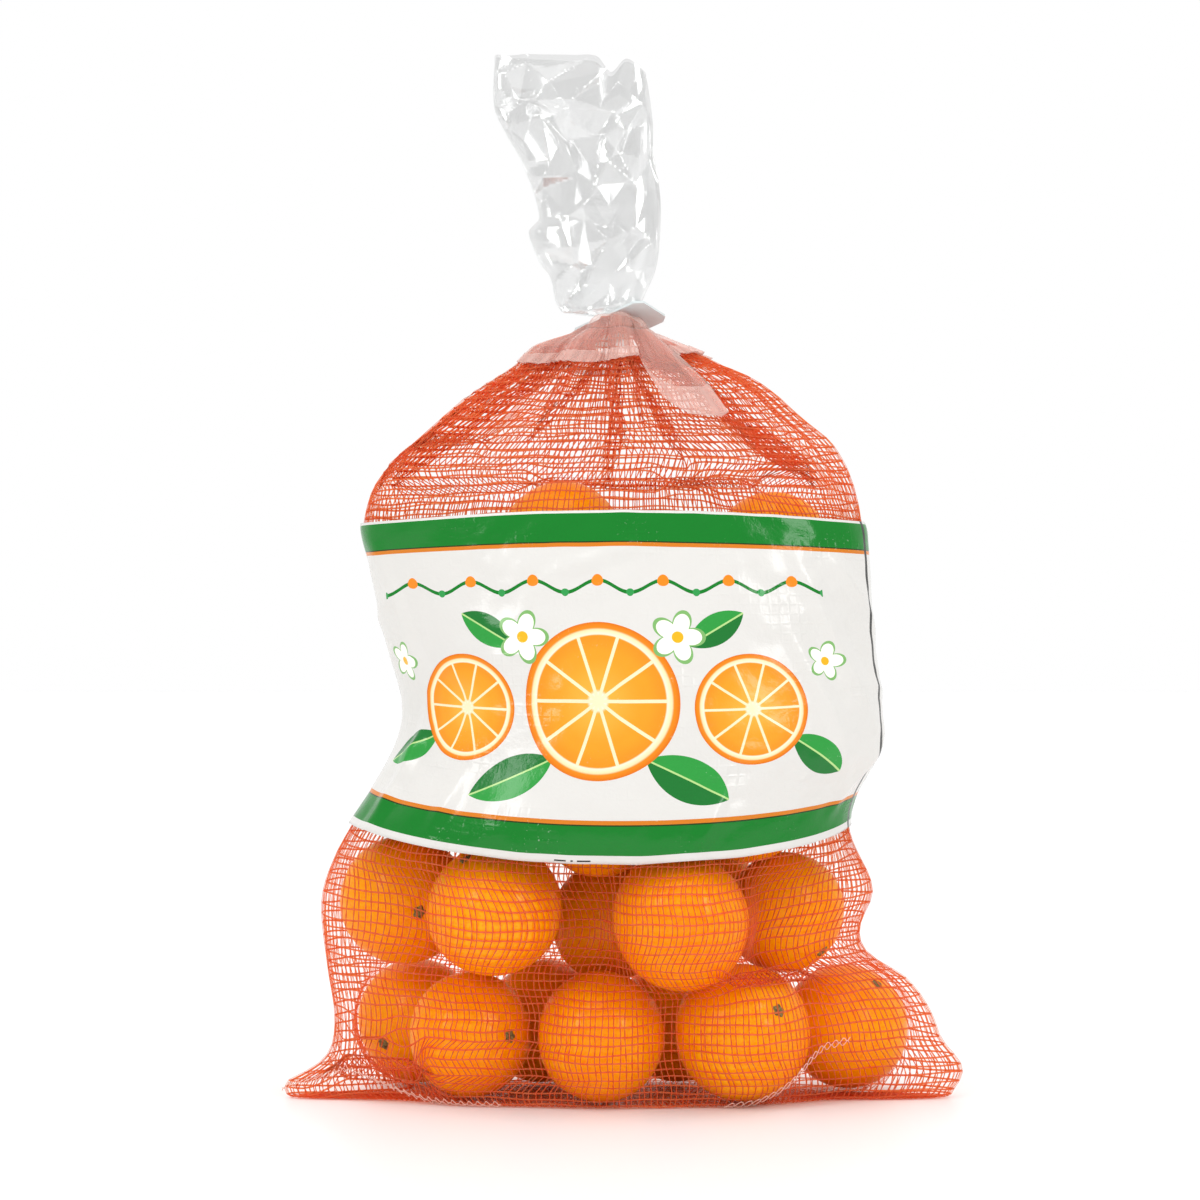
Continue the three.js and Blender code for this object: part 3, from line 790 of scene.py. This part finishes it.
# long waves, quick wrinkles in patches, and the sharp creases, all lower round the sides
slow = crumple(round_x, print_y, 90, seed=0.4)
quick = crumple(round_x, print_y, 30, sharp=1.3, seed=2.2)
patchy = ramp(crumple(round_x, print_y, 150, count=4, seed=5.1), 0.45, 0.8)
wrinkles = 1.1 * slow + (0.4 + 1.2 * patchy) * quick
for from_x, from_y, to_x, to_y, depth, half_width in PULLS:
    run_x, run_y = to_x - from_x, to_y - from_y
    share = ((round_x - from_x) * run_x + (print_y - from_y) * run_y) / (run_x**2 + run_y**2)
    share = np.clip(share, 0, 1)
    away = np.hypot(round_x - from_x - share * run_x, print_y - from_y - share * run_y)
    rise = depth * np.sin(math.pi * (0.1 + 0.8 * share))
    wrinkles = wrinkles + rise * np.clip(1 - away / half_width, 0, 1)
wrinkles *= 1 - SIDE_TIGHTNESS * normals[..., 0] ** 2
band_outer = band_grid + normals * (BAND_STAND_OFF + wrinkles)[..., None]
band_inner = band_outer - normals * FILM_THICKNESS
points, faces = shell_mesh(band_inner, band_outer)

# Glossy polyethylene film, printed white and over that in green, orange and ochre. The net under it shows
# through as a faint grid of dents, and where they rub, the ink is scuffed to pale dots.
film, tree, output = material_tree("printed_polyethylene_film")
at_print = add(
    tree,
    "ShaderNodeMapping",
    {"Vector": add(tree, "ShaderNodeUVMap", uv_map="print"), "Scale": (1 / MM, 1 / MM, 1)},
)
print_axes = add(tree, "ShaderNodeSeparateXYZ", {0: at_print})
across_print, up_print = print_axes.outputs[0], print_axes.outputs[1]
share_up = add(tree, "ShaderNodeMath", {0: up_print, 1: LABEL_HEIGHT}, operation="DIVIDE")
stripes = add(tree, "ShaderNodeValToRGB", {"Fac": share_up})
stripes.color_ramp.interpolation = "CONSTANT"
WHITE, GREEN, HAIRLINE, ORANGE, BLACK = "#e0deda", "#007a20", "#1d3b0e", "#d87c1c", "#20201c"
# each stripe's lower edge, in millimetres up from the sleeve's, and its ink
STRIPES = [
    (0, WHITE), (3, GREEN), (13.6, HAIRLINE), (14, ORANGE), (15.9, WHITE),
    (122.2, ORANGE), (124.1, HAIRLINE), (124.5, GREEN), (135.5, WHITE),
]
set_stops(stripes, [(edge / LABEL_HEIGHT, shade) for edge, shade in STRIPES])
ink = stripes.outputs["Color"]


def print_over(mask, shade):
    """Lays one flat ink over the print so far, where the mask is 1."""
    global ink
    ink = add(tree, "ShaderNodeMix", {0: mask, 6: ink, 7: shade}, data_type="RGBA").outputs[2]


def around_point(x, y, radius):
    """Distance of the print's points from a motif's centre, as a share of its radius, and their angle."""
    offset = add(tree, "ShaderNodeVectorMath", {0: at_print, 1: (x, y, 0)}, operation="SUBTRACT")
    length = add(tree, "ShaderNodeVectorMath", {0: offset}, operation="LENGTH").outputs["Value"]
    share = add(tree, "ShaderNodeMath", {0: length, 1: radius}, operation="DIVIDE")
    axes = add(tree, "ShaderNodeSeparateXYZ", {0: offset})
    angle = add(tree, "ShaderNodeMath", {0: axes.outputs[1], 1: axes.outputs[0]}, operation="ARCTAN2")
    return share, angle


PULP_EDGE = 0.85  # where the pulp of a cut fruit ends and its pith begins, as a share of the radius


def print_wheel(x, y, radius, segments=10):
    """A fruit cut across: a rind, a pale pith and pulp in equal segments, parted by pale skins."""
    share, angle = around_point(x, y, radius)
    rings = add(tree, "ShaderNodeValToRGB", {"Fac": share})
    rings.color_ramp.interpolation = "EASE"
    shades = [(0.1, "#fdf3d6"), (0.16, "#fbb03c"), (0.6, "#f99f22"), (PULP_EDGE - 0.02, "#f8941c")]
    shades += [(PULP_EDGE, "#fdf0d2"), (0.9, "#fde6b4"), (0.93, "#f28a14"), (1.0, "#e2760a")]
    set_stops(rings, shades)
    whole_fruit = add(tree, "ShaderNodeMath", {0: share, 1: 1.0}, operation="LESS_THAN")
    print_over(whole_fruit, rings.outputs["Color"])
    turns = add(tree, "ShaderNodeMath", {0: angle, 1: segments / (2 * math.pi)}, operation="MULTIPLY")
    beside = add(tree, "ShaderNodeMath", {0: turns, 1: 0.5}, operation="PINGPONG")
    aside = add(tree, "ShaderNodeMath", {0: beside, 1: share}, operation="MULTIPLY")
    skin_line = add(tree, "ShaderNodeMath", {0: aside, 1: 0.035}, operation="LESS_THAN")
    within = add(tree, "ShaderNodeMath", {0: share, 1: PULP_EDGE}, operation="LESS_THAN")
    lines = add(tree, "ShaderNodeMath", {0: skin_line, 1: within}, operation="MULTIPLY")
    print_over(lines, colour("#fdeac0"))


def print_blossom(x, y, radius):
    """A white flower of five round petals with a soft green outline and a yellow middle."""
    share, angle = around_point(x, y, radius)
    half_turns = add(tree, "ShaderNodeMath", {0: angle, 1: 2.5}, operation="MULTIPLY")
    wave = add(tree, "ShaderNodeMath", {0: half_turns}, operation="COSINE")
    round_wave = add(tree, "ShaderNodeMath", {0: wave}, operation="ABSOLUTE")
    rim = add(tree, "ShaderNodeMath", {0: round_wave, 1: 0.45, 2: 0.55}, operation="MULTIPLY_ADD")
    inside = add(tree, "ShaderNodeMath", {0: share, 1: rim}, operation="DIVIDE")
    for limit, shade in ((1.16, "#7fb56a"), (1.0, "#fffdf2")):
        print_over(add(tree, "ShaderNodeMath", {0: inside, 1: limit}, operation="LESS_THAN"), colour(shade))
    print_over(add(tree, "ShaderNodeMath", {0: share, 1: 0.24}, operation="LESS_THAN"), colour("#f3b61c"))


def print_leaf(x, y, length, slant):
    """A leaf: the part shared by two circles, darker on one side of a pale rib that runs its length."""
    offset = add(tree, "ShaderNodeVectorMath", {0: at_print, 1: (x, y, 0)}, operation="SUBTRACT")
    spin = add(
        tree,
        "ShaderNodeVectorRotate",
        {"Vector": offset, "Angle": -math.radians(slant)},
        rotation_type="Z_AXIS",
    )
    across = add(tree, "ShaderNodeSeparateXYZ", {0: spin}).outputs[1]
    halves = []
    for way in (-1, 1):
        middle = (0, way * length * 0.42, 0)
        far = add(tree, "ShaderNodeVectorMath", {0: spin, 1: middle}, operation="DISTANCE").outputs["Value"]
        halves.append(add(tree, "ShaderNodeMath", {0: far, 1: length * 0.65}, operation="LESS_THAN"))
    leaf = add(tree, "ShaderNodeMath", {0: halves[0], 1: halves[1]}, operation="MULTIPLY")
    print_over(leaf, colour("#2c9a3e"))
    lower = add(tree, "ShaderNodeMath", {0: across, 1: 0.0}, operation="LESS_THAN")
    print_over(add(tree, "ShaderNodeMath", {0: leaf, 1: lower}, operation="MULTIPLY"), colour("#15752c"))
    rib = add(tree, "ShaderNodeMath", {0: across, 1: 0.0, 2: 0.35}, operation="COMPARE")
    print_over(add(tree, "ShaderNodeMath", {0: leaf, 1: rib}, operation="MULTIPLY"), colour("#b8dc8c"))


# a garland across the top of the panel: a waved green line with an orange berry at each crest and a small
# green one at each trough
GARLAND_WAVE, GARLAND_HEIGHT, GARLAND_SWING = 26.0, 107, 2.4
waved = add(tree, "ShaderNodeMath", {0: across_print, 1: 2 * math.pi / GARLAND_WAVE}, operation="MULTIPLY")
lifted = add(tree, "ShaderNodeMath", {0: waved}, operation="COSINE")
vine = add(
    tree, "ShaderNodeMath", {0: lifted, 1: GARLAND_SWING, 2: GARLAND_HEIGHT}, operation="MULTIPLY_ADD"
)
from_vine = add(tree, "ShaderNodeMath", {0: up_print, 1: vine}, operation="SUBTRACT")
near_vine = add(tree, "ShaderNodeMath", {0: from_vine}, operation="ABSOLUTE")
out_from_middle = add(tree, "ShaderNodeMath", {0: across_print}, operation="ABSOLUTE")
on_garland = add(tree, "ShaderNodeMath", {0: out_from_middle, 1: 3.5 * GARLAND_WAVE}, operation="LESS_THAN")
on_line = add(tree, "ShaderNodeMath", {0: near_vine, 1: 0.75}, operation="LESS_THAN")
print_over(add(tree, "ShaderNodeMath", {0: on_line, 1: on_garland}, operation="MULTIPLY"), colour(GREEN))
beside = add(tree, "ShaderNodeMath", {0: across_print, 1: GARLAND_WAVE / 2}, operation="PINGPONG")
for shift, size, shade in ((0.0, 2.3, "#f08a18"), (GARLAND_WAVE / 2, 1.5, "#2f9a4c")):
    aside = add(tree, "ShaderNodeMath", {0: beside, 1: shift}, operation="SUBTRACT")
    spot = add(tree, "ShaderNodeCombineXYZ", {0: aside, 1: from_vine})
    far = add(tree, "ShaderNodeVectorMath", {0: spot}, operation="LENGTH").outputs["Value"]
    near = add(tree, "ShaderNodeMath", {0: far, 1: size}, operation="LESS_THAN")
    print_over(add(tree, "ShaderNodeMath", {0: near, 1: on_garland}, operation="MULTIPLY"), colour(shade))
# the leaves, cut fruit and blossoms of the right half, each with a twin on the left, and one fruit between
for x, y, length, slant in ((34, 31, 36, -28), (84, 38, 28, -35), (46, 90, 26, 30)):
    print_leaf(-x, y, length, 180 - slant)
    print_leaf(x, y, length, slant)
for x, y, radius in ((-58, 58, 22), (58, 58, 22), (0, 62, 31)):
    print_wheel(x, y, radius)
for x, y, radius in ((31, 87, 9.5), (90, 76, 7.5)):
    print_blossom(-x, y, radius)
    print_blossom(x, y, radius)

# the seam down each side is welded under a black line, and two dashes and a dot mark each repeat below
SEAM_LINE = 1.0
seam_edge = panel / 2 - SEAM_LINE
seam = add(tree, "ShaderNodeMath", {0: out_from_middle, 1: seam_edge}, operation="GREATER_THAN")
print_over(seam, colour(BLACK))
for x, length in ((-11.4, 4.0), (-7.4, 0.8), (-3.3, 4.6)):
    aside = add(tree, "ShaderNodeMath", {0: across_print, 1: x, 2: length / 2}, operation="COMPARE")
    level = add(tree, "ShaderNodeMath", {0: up_print, 1: 1.1, 2: 0.3}, operation="COMPARE")
    print_over(add(tree, "ShaderNodeMath", {0: aside, 1: level}, operation="MULTIPLY"), colour(BLACK))

# dents of the net in patches, with rubbed ink on them, over fine wrinkles
NET_CELL = 4.0
dent_across = add(tree, "ShaderNodeMath", {0: across_print, 1: NET_CELL / 2}, operation="PINGPONG")
dent_up = add(tree, "ShaderNodeMath", {0: up_print, 1: NET_CELL / 2}, operation="PINGPONG")
grid = add(tree, "ShaderNodeMath", {0: dent_across, 1: dent_up, 2: 0.6}, operation="SMOOTH_MIN")
dents = add(tree, "ShaderNodeMapRange", {"Value": grid, "From Max": 0.7, "To Min": 1, "To Max": 0})
patches = add(tree, "ShaderNodeTexNoise", {"Vector": at_print, "Scale": 0.045, "Detail": 3})
pressed = add(tree, "ShaderNodeMapRange", {"Value": patches, "From Min": 0.52, "From Max": 0.72})
imprint = add(tree, "ShaderNodeMath", {0: dents, 1: pressed}, operation="MULTIPLY")
fine_wrinkles = add(
    tree, "ShaderNodeTexNoise", {"Vector": at_print, "Scale": 0.16, "Detail": 4, "Roughness": 0.6}
)
relief = add(tree, "ShaderNodeMath", {0: fine_wrinkles, 1: 1.6, 2: imprint}, operation="MULTIPLY_ADD")
creased = add(tree, "ShaderNodeBump", {"Height": relief, "Strength": 0.55, "Distance": 0.3 * MM})
grit = add(tree, "ShaderNodeTexNoise", {"Vector": at_print, "Scale": 0.9, "Detail": 2})
rubbed = add(tree, "ShaderNodeMapRange", {"Value": grit, "From Min": 0.62, "From Max": 0.7})
scuffs = add(tree, "ShaderNodeMath", {0: rubbed, 1: imprint}, operation="MULTIPLY")
faint = add(tree, "ShaderNodeMath", {0: scuffs, 1: 0.55}, operation="MULTIPLY")
print_over(faint, colour("#dff2e0"))
printed = add(
    tree,
    "ShaderNodeBsdfPrincipled",
    {"Base Color": ink, "Roughness": 0.17, "Specular IOR Level": 0.35, "IOR": 1.5, "Normal": creased},
)
tree.links.new(printed.outputs[0], output.inputs["Surface"])

band = make_piece("label_film", points, faces, film)
# the print's own coordinates at each corner, kept whole where a face crosses from one panel to the next
corner_x = np.concatenate([print_x.ravel(), print_x.ravel()])[faces]
corner_x = corner_x - panel * np.round((corner_x - corner_x[:, :1]) / panel)
corner_y = np.concatenate([print_y.ravel(), print_y.ravel()])[faces]
uv = band.data.uv_layers.new(name="print")
uv.data.foreach_set("uv", (np.stack([corner_x, corner_y], -1) * MM).astype(np.float32).ravel())
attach(band, "root")
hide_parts("label_band")

# Film skirt
# The lower end of the clear film bag, lapped over the top of the net and gathered with it. Its edge hangs
# a little unevenly, with one loose flap on the right.
SKIRT_OFF, SKIRT_RIPPLE = 1.5, 0.5
SKIRT_ROWS, SKIRT_COLUMNS = 36, 420
ROWS_PAST_CREST = 3  # rows of the neck that the skirt still covers
# how far below the crest the edge hangs, in rows of the net's dome, against the angle
SKIRT_HANG = [
    [0, 22], [60, 20], [120, 22], [180, 24], [200, 28], [225, 31], [262, 32], [279, 29], [285, 29],
    [290, 50], [297, 57], [306, 58], [311, 56], [314, 28], [324, 24], [360, 22],
]
HEM_ROWS, HEM_OFF = 9, 0.35  # the edge is folded back on itself, and the layers there look milkier

skirt_column = np.arange(SKIRT_COLUMNS) / SKIRT_COLUMNS * NET_COLUMNS
skirt_angle = np.degrees(np.interp(skirt_column, np.arange(NET_COLUMNS), angles))
hang = np.interp(skirt_angle, *np.array(SKIRT_HANG).T)
up_share = np.linspace(0, 1, SKIRT_ROWS)[:, None]
skirt_row = BELLY_ROWS + BAND_ROWS + DOME_ROWS + ROWS_PAST_CREST - hang * (1 - up_share)
skirt_grid = sampled(into_neck(outer), skirt_row, np.broadcast_to(skirt_column, skirt_row.shape))
normals = surface_normals(skirt_grid)
ripple = SKIRT_RIPPLE * np.sin(np.arange(SKIRT_COLUMNS) * 0.9)[None] * (1 - up_share)
skirt_outer = skirt_grid + normals * (SKIRT_OFF + ripple)[..., None]
points, faces = shell_mesh(skirt_outer - normals * FILM_THICKNESS, skirt_outer)
hem_outer = skirt_outer[:HEM_ROWS] + normals[:HEM_ROWS] * HEM_OFF
hem_points, hem_faces = shell_mesh(hem_outer - normals[:HEM_ROWS] * FILM_THICKNESS, hem_outer)


def milky_film(name, least, most):
    """See-through film with a veil of haze that grows from its face on to its edges. The haze's colour is
    painted pink for the light of the net under it.
    """
    material, tree, output = material_tree(name)
    see = add(tree, "ShaderNodeBsdfTransparent", {"Color": (0.98, 0.97, 0.965, 1)})
    # the haze is painted pink: the light that the net sends back into the film
    haze_painted_pink = add(
        tree, "ShaderNodeBsdfPrincipled", {"Base Color": colour("#ffd6cb"), "Roughness": 0.2, "IOR": 1.5}
    )
    edge = add(tree, "ShaderNodeLayerWeight", {"Blend": 0.35})
    facing = edge.outputs["Facing"]
    veil = add(tree, "ShaderNodeMapRange", {"Value": facing, "To Min": least, "To Max": most})
    mixed = add(tree, "ShaderNodeMixShader", {0: veil, 1: see, 2: haze_painted_pink})
    tree.links.new(mixed.outputs[0], output.inputs["Surface"])
    return material


# Clear polypropylene film: see-through where it lies on the net, bright where it bends, and milky at its
# hem, where it is folded back on itself. Its haze is painted pink for the light that the net sends back.
for name, points, faces, film_kind in (
    ("film_skirt_lap", points, faces, milky_film("clear_polypropylene_lap", 0.17, 0.4)),
    ("film_skirt_hem", hem_points, hem_faces, milky_film("milky_polypropylene_hem", 0.3, 0.5)),
):
    skirt = make_piece(name, points, faces, film_kind)
    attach(skirt, "root")
    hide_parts("film_skirt")

# Gathered film top
# The open end of the clear film bag, squeezed to a rope in the clip and fanned out above it. Hands have
# crumpled it into flat facets with sharp edges between them, and its top is the film's straight cut edge.
FILM_TOP = 423
PLUME_FOOT = 303.5
FILM_LEFT = [
    [303, -4.8], [315.5, -4.8], [318.5, -17.5], [327, -24.8], [336.5, -28.2], [341, -32.3], [351.5, -36.8],
    [357.5, -32.5], [380, -39.7], [391, -45.9], [402, -50.8], [FILM_TOP, -50.6],
]
FILM_RIGHT = [
    [303, 4.8], [318, 4.8], [322, 9.5], [334, 14.9], [359, 17], [371, 16.2], [384, 14], [398, 13.7],
    [FILM_TOP, 10.8],
]
FILM_DEPTH = [[303, 4.8], [318, 4.8], [322, 6.5], [330, 8], [360, 10], [400, 9.5], [FILM_TOP, 7]]
# height of the cut edge against X: it dips where the film is folded over
FILM_CUT = [[-50.6, FILM_TOP], [-18, 422], [-9, 421.5], [-3.5, 415.6], [2.8, 421], [10.8, 416]]
PLUME_COLUMNS, PLUME_ROWS = 320, 152
FACET_CORNERS = 130  # corners of the flat facets in each wall
FACET_DEPTH = 3.4
FAN_DEPTH, FAN_ANGLE = 1.1, 0.16  # pleats that fan out of the clip: depth, and radians from one to the next
CLIP_SLOPE = 0.27


def crumpled(x, z, seed):
    """Depth of a crumpled wall: corners at random places and depths, joined by Delaunay triangles, and read
    at each point by its shares of the triangle's corners, so that every triangle is a flat facet."""
    random = np.random.default_rng(seed)
    corner_x = random.uniform(-56, 24, FACET_CORNERS)
    corner_z = random.uniform(300, 430, FACET_CORNERS)
    corners = np.stack([corner_x, corner_z], -1)
    corners = np.vstack([corners, [[-90, 290], [60, 290], [60, 440], [-90, 440]]])
    depths = random.uniform(-1, 1, len(corners)) * FACET_DEPTH
    found = delaunay_2d_cdt([Vector(corner) for corner in corners.tolist()], [], [], 0, 1e-6)
    places = np.array([tuple(corner) for corner in found[0]])
    depths = depths[[origin[0] for origin in found[3]]]
    depth = np.zeros_like(x)
    for a, b, c in found[2]:
        (ax, az), (bx, bz), (cx, cz) = places[[a, b, c]]
        area = (bx - ax) * (cz - az) - (cx - ax) * (bz - az)
        share_b = ((x - ax) * (cz - az) - (cx - ax) * (z - az)) / area
        share_c = ((bx - ax) * (z - az) - (x - ax) * (bz - az)) / area
        share_a = 1 - share_b - share_c
        inside = (share_a >= 0) & (share_b >= 0) & (share_c >= 0)
        depth = np.where(inside, share_a * depths[a] + share_b * depths[b] + share_c * depths[c], depth)
    return depth


share_z = np.linspace(0, 1, PLUME_ROWS)[:, None]
z = PLUME_FOOT + (FILM_TOP - PLUME_FOOT) * share_z
turn = (np.arange(PLUME_COLUMNS) / PLUME_COLUMNS * 2 * math.pi)[None]
left, right, depth = through(FILM_LEFT, z), through(FILM_RIGHT, z), through(FILM_DEPTH, z)
opened = ramp(z, 316, 326)
x = (left + right) / 2 + (right - left) / 2 * np.cos(turn)
# its lowest rows follow the slope of the clip, and its highest ones the cut edge
on_clip = CLIP_SLOPE * x * opened * (1 - ramp(z, 320, 350))
z_edge = z + (through(FILM_CUT, x) - FILM_TOP) * share_z**6 + on_clip
# each wall is drawn in towards the neck by pleats that fan out upwards from the clip
fan = np.arctan2(x + 4, z - 296)
pleats = FAN_DEPTH * np.abs((fan / FAN_ANGLE) % 2 - 1) * (1 - ramp(z, 330, 400))
front_wall = crumpled(x, z_edge, 11) + pleats
back_wall = crumpled(x, z_edge, 23) + pleats
bulge = depth * np.sin(turn)
crushed = np.where(np.sin(turn) < 0, front_wall, -back_wall) * np.minimum(np.abs(np.sin(turn)) / 0.35, 1)
rope_pleats = (1 - opened) * 0.04 * np.cos(12 * turn)
y = bulge * (1 + rope_pleats) + opened * crushed
plume_outer = np.stack([x, y, z_edge], axis=-1)
normals = surface_normals(plume_outer)
points, faces = shell_mesh(plume_outer - normals * FILM_THICKNESS, plume_outer)

# Clear polypropylene film: each of its surfaces mirrors the room faintly, which greys what lies behind it,
# and a facet that mirrors a lamp flashes white.
clear, tree, output = material_tree("clear_polypropylene_film")
see = add(tree, "ShaderNodeBsdfTransparent", {"Color": (0.935, 0.936, 0.935, 1)})
mirror = add(tree, "ShaderNodeBsdfGlossy", {"Color": (1, 1, 1, 1), "Roughness": 0.12})
edge = add(tree, "ShaderNodeLayerWeight", {"Blend": 0.4})
veil = add(tree, "ShaderNodeMapRange", {"Value": edge.outputs["Facing"], "To Min": 0.12, "To Max": 0.4})
mixed = add(tree, "ShaderNodeMixShader", {0: veil, 1: see, 2: mirror})
tree.links.new(mixed.outputs[0], output.inputs["Surface"])
plume = make_piece("film_plume", points, faces, clear, smooth=False)
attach(plume, "root")
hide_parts("neck_film")

# Closure clip
# A flat bag clip, stamped from white polystyrene sheet, pushed over the gathered film from the front.
clip_plastic, tree, output = material_tree("white_polystyrene_painted_grey_shade")
place = add(tree, "ShaderNodeTexCoord").outputs["Object"]
grain = add(tree, "ShaderNodeTexNoise", {"Vector": place, "Scale": 500, "Detail": 3})
fine = add(tree, "ShaderNodeBump", {"Height": grain, "Strength": 0.1, "Distance": 0.1 * MM})
# the white sheet's colour is painted a light grey: the shade of its underside, which faces down
sheet = add(
    tree,
    "ShaderNodeBsdfPrincipled",
    {"Base Color": colour("#d6dede"), "Roughness": 0.4, "IOR": 1.55, "Normal": fine},
)
tree.links.new(sheet.outputs[0], output.inputs["Surface"])
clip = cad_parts["closure_clip"]
clip.data.materials.clear()
clip.data.materials.append(clip_plastic)

# Stage
# A plain white floor that runs out of the picture, in a white room that is brightest behind the bag, with a
# large soft lamp above and a tall softbox on each side in front.
FLOOR_HALF = 6.0
floor_points = np.array([[-1, -1, 0], [1, -1, 0], [1, 1, 0], [-1, 1, 0]], float) * FLOOR_HALF / MM
paper, tree, output = material_tree("white_studio_paper")
matt = add(
    tree,
    "ShaderNodeBsdfPrincipled",
    {"Base Color": (0.96, 0.96, 0.96, 1), "Roughness": 0.38, "Specular IOR Level": 0.2},
)
tree.links.new(matt.outputs[0], output.inputs["Surface"])
floor = make_piece("studio_floor", floor_points, np.array([[0, 1, 2, 3]]), paper, smooth=False)

world = bpy.data.worlds.new("studio")
world.use_nodes = True
world.node_tree.nodes.clear()
way = add(world.node_tree, "ShaderNodeTexCoord").outputs["Generated"]
back = add(world.node_tree, "ShaderNodeSeparateXYZ", {0: way}).outputs["Y"]
level = add(
    world.node_tree,
    "ShaderNodeMapRange",
    {"Value": back, "From Min": -0.2, "From Max": 0.5, "To Min": 0.66, "To Max": 1.0},
)
seen = add(world.node_tree, "ShaderNodeLightPath").outputs["Is Camera Ray"]
shown = add(world.node_tree, "ShaderNodeMath", {0: level, 1: seen}, operation="MAXIMUM")
sky = add(world.node_tree, "ShaderNodeBackground", {"Color": (1, 1, 1, 1), "Strength": shown})
add(world.node_tree, "ShaderNodeOutputWorld", {"Surface": sky})
bpy.context.scene.world = world


def add_lamp(name, kind, at, towards, energy, **settings):
    """A lamp at a place in metres, turned so that it shines towards another."""
    data = bpy.data.lights.new(name, kind)
    data.energy = energy
    for key, value in settings.items():
        setattr(data, key, value)
    lamp = bpy.data.objects.new(name, data)
    bpy.context.scene.collection.objects.link(lamp)
    aim = np.array(towards, float) - np.array(at, float)
    turned = frames_towards(-aim[None])[0]
    lamp.location = at
    lamp.rotation_euler = Matrix(turned.tolist()).to_euler()


SOFTBOX = {"shape": "RECTANGLE", "size": 0.35, "size_y": 0.7}
add_lamp("overhead_sun", "SUN", (-0.25, -0.35, 2.0), (0, 0, 0), 0.9, angle=math.radians(40))
add_lamp("left_softbox", "AREA", (-0.9, -1.0, 0.9), (0, 0, 0.15), 4.6, **SOFTBOX)
add_lamp("right_softbox", "AREA", (1.0, -0.9, 0.8), (0, 0, 0.15), 4.6, **SOFTBOX)

camera_data = bpy.data.cameras.new("camera")
camera_data.lens = 100.47
camera_data.sensor_width = 36
camera = bpy.data.objects.new("camera", camera_data)
bpy.context.scene.collection.objects.link(camera)
camera.location = (-0.0078, -1.360, 0.202)
camera.rotation_euler = (math.radians(90), 0, 0)
bpy.context.scene.camera = camera
bpy.context.scene.view_settings.view_transform = "Standard"
